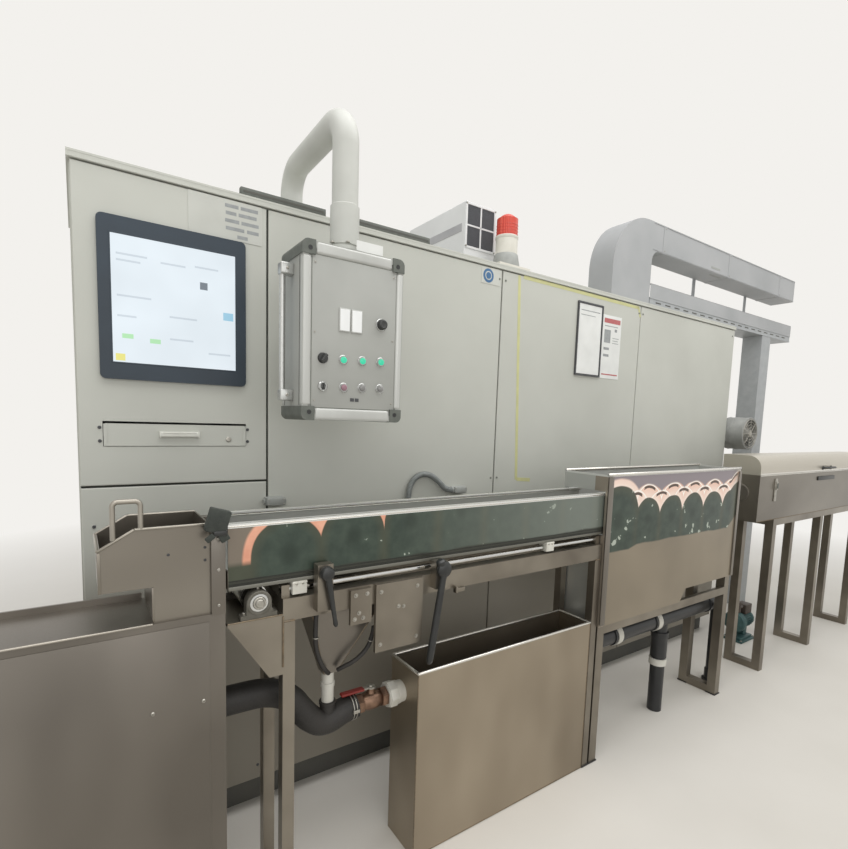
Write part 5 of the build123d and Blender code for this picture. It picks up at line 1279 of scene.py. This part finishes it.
class BAY_OT_bearings(bpy.types.Operator):
    """Seals and foot bolts of the bearings, and the locking rings of the roller shaft"""
    bl_idname = "bay.bearings"
    bl_label = "Bearings"

    def execute(self, context):
        x, z = 337, 869
        fixed, spun = [], []
        for y, side in ((-448, -1), (-264, 1)):
            place, axis = (x, y, z), (0, side, 0)
            fixed += coated("casting", turned(place, axis, [
                (-2, 28.6), (1.5, 28.6), (3, 26.5), (3, 21.5), (0.4, 21)], 48))
            fixed += coated("chrome", turned(place, axis, [
                (-1, 21), (0.8, 21), (1.2, 18), (1.2, 15.6), (-0.6, 15.2)], 48))
            spun += coated("bolt", turned(place, axis, [
                (0.4, 14.8), (4.4, 14.8), (5.4, 13.8), (5.4, 10.4), (2, 10.2)], 40),
                turned(place, axis, [(1, 9.9), (7, 9.9), (8.4, 8.4)]))
            foot = y - side * 12
            fixed += repeated(bolt((0, foot, 843), UP, 9), [(306, 0, 0), (368, 0, 0)])
            fixed += coated("bolt", bar((x, foot, 897), (x, foot, 904), 6, 1, 6))
        fitted("bearing_seals", fixed, "machine")
        spun += coated("rubber", *[hoop(at(x, y, z), (0, 1, 0), 60, 3.4) for y in (-400, -312)])
        fitted("shaft_rings", spun, "roller")
        return {"FINISHED"}


class BAY_OT_clamp_levers(bpy.types.Operator):
    """The short tapered lever and the long one with its heavy head"""
    bl_idname = "bay.clamp_levers"
    bl_label = "Clamp levers"

    def execute(self, context):
        for name, node, body, x, z, lean, head, stem in (
                ("short_lever", "left_clamp_lever", "left_clamp", 489, 926, 10,
                 [(0, 16), (3, 18), (12, 18), (18, 15), (21, 9)],
                 [(6, 9), (24, 8.4), (70, 6.4), (118, 5.2), (132, 6), (138, 3.4)]),
                ("long_lever", "right_clamp_lever", "right_clamp", 840, 888, -9,
                 [(0, 17), (3, 21), (10, 24), (16, 22), (20, 16), (22, 8)],
                 [(8, 11), (30, 9.4), (90, 10), (220, 10.8), (256, 10), (266, 8), (270, 4)])):
            down = (math.sin(math.radians(lean)), 0, -math.cos(math.radians(lean)))
            parts = coated("black", turned((x, -475.3, z), OUT, head, 40),
                           turned((x, -486.3, z), down, stem, 24))
            if body == "right_clamp":
                parts += coated("black", turned((x - 4, -482, z + 4), (-0.35, 0, 0.94), [
                    (4, 13), (14, 14), (22, 13), (26, 8)]))
            parts += coated("bolt", bar((x, -475.3, z), (x, -448.3, z), 12, 0.8))
            fitted(name, parts, body, (node,))
        return {"FINISHED"}


class BAY_OT_tank_and_funnel(bpy.types.Operator):
    """Rolled rim and seams of the water tank, lips of the funnel and its two small hoses"""
    bl_idname = "bay.tank_and_funnel"
    bl_label = "Tank and funnel"

    def execute(self, context):
        rim = context.scene.bay_sizes.rim_bar * 1000
        tank = coated("rim", *[bar((790, y, 575), (1556, y, 575), rim, 1.5, 20)
                               for y in (-446, -302)],
                      *[bar((x, -448, 575), (x, -300, 575), rim, 1.5, 20) for x in (792, 1554)])
        tank += coated("weld", *[bar((x0, -447.6, 3), (x1, -447.6, z), 3.4, 0.8, 10)
                                 for x0, x1, z in ((791, 791, 570), (1555, 1555, 570),
                                                   (791, 1555, 3))])
        fitted("tank_rim", tank, "machine")

        edge = coated("weld", *[bar((x0, -416, 800), (x1, -374, 612), 3.6, 0.8, 10)
                                for x0, x1 in ((480, 531), (680, 569))])
        edge += coated("stainless_up", box(479, 681, -417.5, -415.5, 800, 811, 0.7))
        fitted("funnel_edges", edge, "machine")

        small = context.scene.bay_sizes.drip_hose * 1000
        left = ((486, -426, 811), (483, -428, 770), (484, -428, 720), (500, -422, 672),
                (520, -410, 640), (536, -392, 622))
        right = ((652, -426, 740), (650, -424, 716), (636, -420, 676), (600, -412, 646),
                 (576, -398, 632), (564, -388, 622))
        hoses = coated("rubber", tube(left, small), tube(right, small))
        hoses += coated("bolt", *[hoop(at(*place), way, small + 1.4, 2.6, 24) for place, way in (
            ((484, -428, 745), UP), ((645, -422, 700), (-0.2, 0, -1)))])
        fitted("drip_hoses", hoses, "machine")
        return {"FINISHED"}


class BAY_OT_drain(bpy.types.Operator):
    """Sagging drain hose with its clamps, and the ball valve with its lever"""
    bl_idname = "bay.drain"
    bl_label = "Drain hose and valve"

    def execute(self, context):
        width = context.scene.bay_sizes.drain_hose * 1000
        route = [(x, MIDDLE, z) for x, z in (
            (234, 600), (300, 601), (380, 598), (440, 570), (482, 506), (520, 468), (560, 464),
            (600, 482), (636, DRAIN_Z))]
        hose = coated("rubber", tube(route, width), turned((550, MIDDLE, 466), UP, [
            (0, 21), (50, 21), (52, 23), (58, 23), (59, 18)]))
        hose += coated("bolt", *[hoop(at(x, MIDDLE, z), ALONG, width + 1, 3.2)
                                 for x, z in ((626, 485), (617, 484), (250, 600))],
                       box(612, 632, -396, -390, 482, 492, 1.5))
        fitted("thick_drain_hose", hose, "machine", ("drain_hose",))

        stem = 685.5
        valve = coated("brass", *[bar((x, MIDDLE, DRAIN_Z), (x + 20, MIDDLE, DRAIN_Z), 58, 2.5, 6)
                                  for x in (636, 715)],
                       turned((656, MIDDLE, DRAIN_Z), ALONG, [
                           (0, 20), (5, 23), (16, 26), (30, 27), (43, 26), (54, 23), (59, 20)],
                           40),
                       turned((stem, MIDDLE, 500), UP, [
                           (0, 13), (10, 13), (14, 11), (22.6, 11)]))
        valve += coated("bolt", bar((stem, MIDDLE, 523), (stem, MIDDLE, 531), 13.4, 1, 6))
        fitted("ball_valve", valve, "machine", ("valve_body",))

        lever = coated("bolt", turned((stem, MIDDLE, 523.4), UP, [
            (0, 13.5), (4, 13.5), (4.6, 12.8)]), box(640, 690, -364, -348, 523.4, 528.2, 1.4))
        lever += coated("dipped", box(589.6, 662, -366, -346, 521.6, 530.4, 4, 4))
        fitted("dipped_lever", lever, "valve_handle", ("valve_lever",))
        return {"FINISHED"}


class BAY_OT_deep_box_trim(bpy.types.Operator):
    """Corner strips and rolled rims of the deep box"""
    bl_idname = "bay.deep_box_trim"
    bl_label = "Deep box trim"

    def execute(self, context):
        trim = coated("stainless_up", box(1593.5, 1622, -461.6, -459.6, 556, 1118, 0.8))
        trim += coated("rim", *[bar((1594, y, 1125), (2600, y, 1125), 12.8, 1.5, 24)
                                for y in (-454, -258)])
        trim += coated("stainless_up", box(2580, 2601, -461.6, -459.6, 606, 1112, 0.8))
        fitted("deep_box_edges", trim, "machine")
        return {"FINISHED"}


class BAY_OT_pipework(bpy.types.Operator):
    """Couplings and sockets on the overflow pipe, and the union nut on the drain"""
    bl_idname = "bay.pipework"
    bl_label = "Pipework"

    def execute(self, context):
        pipe = repeated(coated("pvc", turned((0, MIDDLE, 440), ALONG, [
            (0, 39), (1, 43), (22, 43), (23, 39.5)], 48)),
            [(x, 0, 0) for x in (1562, 1800, 1848, 2092, 2140, 2560)])
        pipe += coated("pvc", turned((2190, MIDDLE, 256), UP, [
            (0, 35), (90, 35), (96, 38), (120, 38)], 48), turned((2700, MIDDLE, 2), UP, [
                (0, 40), (8, 40), (10, 30), (60, 30), (64, 25.4)], 48))
        fitted("pipe_couplings", pipe, "machine")

        nut = coated("white_pvc", bar((738, MIDDLE, DRAIN_Z), (764, MIDDLE, DRAIN_Z), 76, 3, 8),
                     turned((764, MIDDLE, DRAIN_Z), ALONG, [(0, 34), (10, 34), (14, 32.4)], 40),
                     turned((550, MIDDLE, 566), UP, [(0, 17.5), (1, 19), (13, 19), (14, 17.5)]))
        fitted("union_nut", nut, "machine")
        return {"FINISHED"}


class BAY_OT_hooded_trough(bpy.types.Operator):
    """Rims, bow handle, latches and cable port of the hooded trough"""
    bl_idname = "bay.hooded_trough"
    bl_label = "Hooded trough"

    def execute(self, context):
        lid = coated("rim", box(2831, 4479, -449.5, -447.6, 1082, 1090, 0.7))
        bow = ((3630, -446, 1100), (3630, -470, 1102), (3644, -476, 1103), (3736, -476, 1103),
               (3750, -470, 1102), (3750, -446, 1100))
        lid += coated("black", tube(bow, 12), *[
            turned((x, -447.6, 1100), OUT, [(0, 12), (3, 12), (4.5, 10)], 24)
            for x in (3630, 3750)])
        fitted("lid_handle", lid, "hood")

        face = -448.4
        body = coated("rim", bar((2830, face, 1078), (4480, face, 1078), 5, 1, 14))
        body += coated("black", box(3563, 3815, -454, -447.5, 1028, 1052, 3, 4))
        for x in (3000, 4290):
            body += coated("bolt", box(x, x + 24, -453, -447.6, 940, 1060, 1.5),
                           box(x + 4, x + 20, -459, -452, 1000, 1044, 2))
            body += coated("cap", box(x + 6, x + 18, -462, -457, 1008, 1036, 2))
        body += coated("weld", bar((2831, face, 843), (4479, face, 843), 3.4, 0.8, 10))
        body += coated("stainless_up", turned((2830, MIDDLE, 985), (-1, 0, 0), [
            (0, 46), (2, 46), (3, 44), (3, 36), (-2, 35.4)], 40))
        fitted("hood_latches", body, "machine")
        return {"FINISHED"}


class BAY_OT_floor_pump(bpy.types.Operator):
    """The circulation pump: volute, finned motor, cowl, terminal box and base"""
    bl_idname = "bay.floor_pump"
    bl_label = "Floor pump"

    def execute(self, context):
        y, z = -170, 120
        pump = coated(
            "pump", box(3330, 3510, -230, -110, 0, 12, 3), box(3346, 3494, -216, -124, 12, 26, 3),
            turned((3330, y, z), ALONG, [
                (0, 34), (4, 40), (8, 58), (16, 64), (44, 64), (52, 58), (60, 46), (68, 44)], 48),
            turned((3398, y, z), ALONG, [
                (0, 48), (6, 48), (6, 42), (88, 42), (90, 46), (108, 46), (112, 42), (112, 14),
                (110, 12)], 48),
            box(3424, 3466, -196, -144, 24, 80, 4))
        fin = slabs("pump", [(3406, 3484, y - 1.2, y + 1.2, z + 40, z + 51)], 0.6)
        pump += ringed(fin, (3406, y, z), "X", [15 * k for k in range(2, 23)])
        pump += coated("pump_cap", box(3415, 3495, -202, -138, 162, 221, 5),
                       turned((3360, y, 184), UP, [
                           (0, 24), (30, 24), (32, 33), (40, 33), (42, 26), (64, 26), (66, 22)],
                           40))
        pump += ringed(bolt((3346, y, z + 54), (-1, 0, 0), 7), (3346, y, z), "X",
                       range(10, 370, 45))
        pump += repeated(bolt((0, y, 12), UP, 9), [(x, side, 0) for x in (3342, 3498)
                                                   for side in (-50, 50)])
        fitted("circulation_pump", pump, "machine", ("floor_pump",))
        return {"FINISHED"}


OPERATORS = (
    BAY_OT_stage, BAY_OT_finishes, BAY_OT_cabinet_trim, BAY_OT_operator_screen,
    BAY_OT_drawer_fittings, BAY_OT_notices, BAY_OT_glands_and_conduit, BAY_OT_roof_units,
    BAY_OT_end_fan, BAY_OT_duct_and_tray, BAY_OT_pendant_shell, BAY_OT_pendant_controls,
    BAY_OT_entry, BAY_OT_trough_trim, BAY_OT_frame_fittings, BAY_OT_bearings,
    BAY_OT_clamp_levers, BAY_OT_tank_and_funnel, BAY_OT_drain, BAY_OT_deep_box_trim,
    BAY_OT_pipework, BAY_OT_hooded_trough, BAY_OT_floor_pump)
GROUPS = (("bay_colours", BayColours), ("bay_sizes", BaySizes), ("bay_stage", StageSettings))


class BAY_PT_panel(bpy.types.Panel):
    """All the steps of the bay, in the order that they are made"""
    bl_idname = "BAY_PT_panel"
    bl_label = "Cable Line Bay"
    bl_space_type = "VIEW_3D"
    bl_region_type = "UI"
    bl_category = "Line Bay"

    def draw(self, context):
        for group, _ in GROUPS:
            settings = getattr(context.scene, group)
            for name in settings.bl_rna.properties.keys():
                if name not in ("rna_type", "name"):
                    self.layout.prop(settings, name)
        for operator in OPERATORS:
            self.layout.operator(operator.bl_idname)


def register():
    for name, group in GROUPS:
        bpy.utils.register_class(group)
        setattr(bpy.types.Scene, name, bpy.props.PointerProperty(type=group))
    for operator in OPERATORS:
        bpy.utils.register_class(operator)
    bpy.utils.register_class(BAY_PT_panel)


def unregister():
    bpy.utils.unregister_class(BAY_PT_panel)
    for operator in reversed(OPERATORS):
        bpy.utils.unregister_class(operator)
    for name, group in reversed(GROUPS):
        delattr(bpy.types.Scene, name)
        bpy.utils.unregister_class(group)


def main():
    register()
    for operator in OPERATORS:
        group, name = operator.bl_idname.split(".")
        getattr(getattr(bpy.ops, group), name)()


if __name__ == "__main__":
    main()
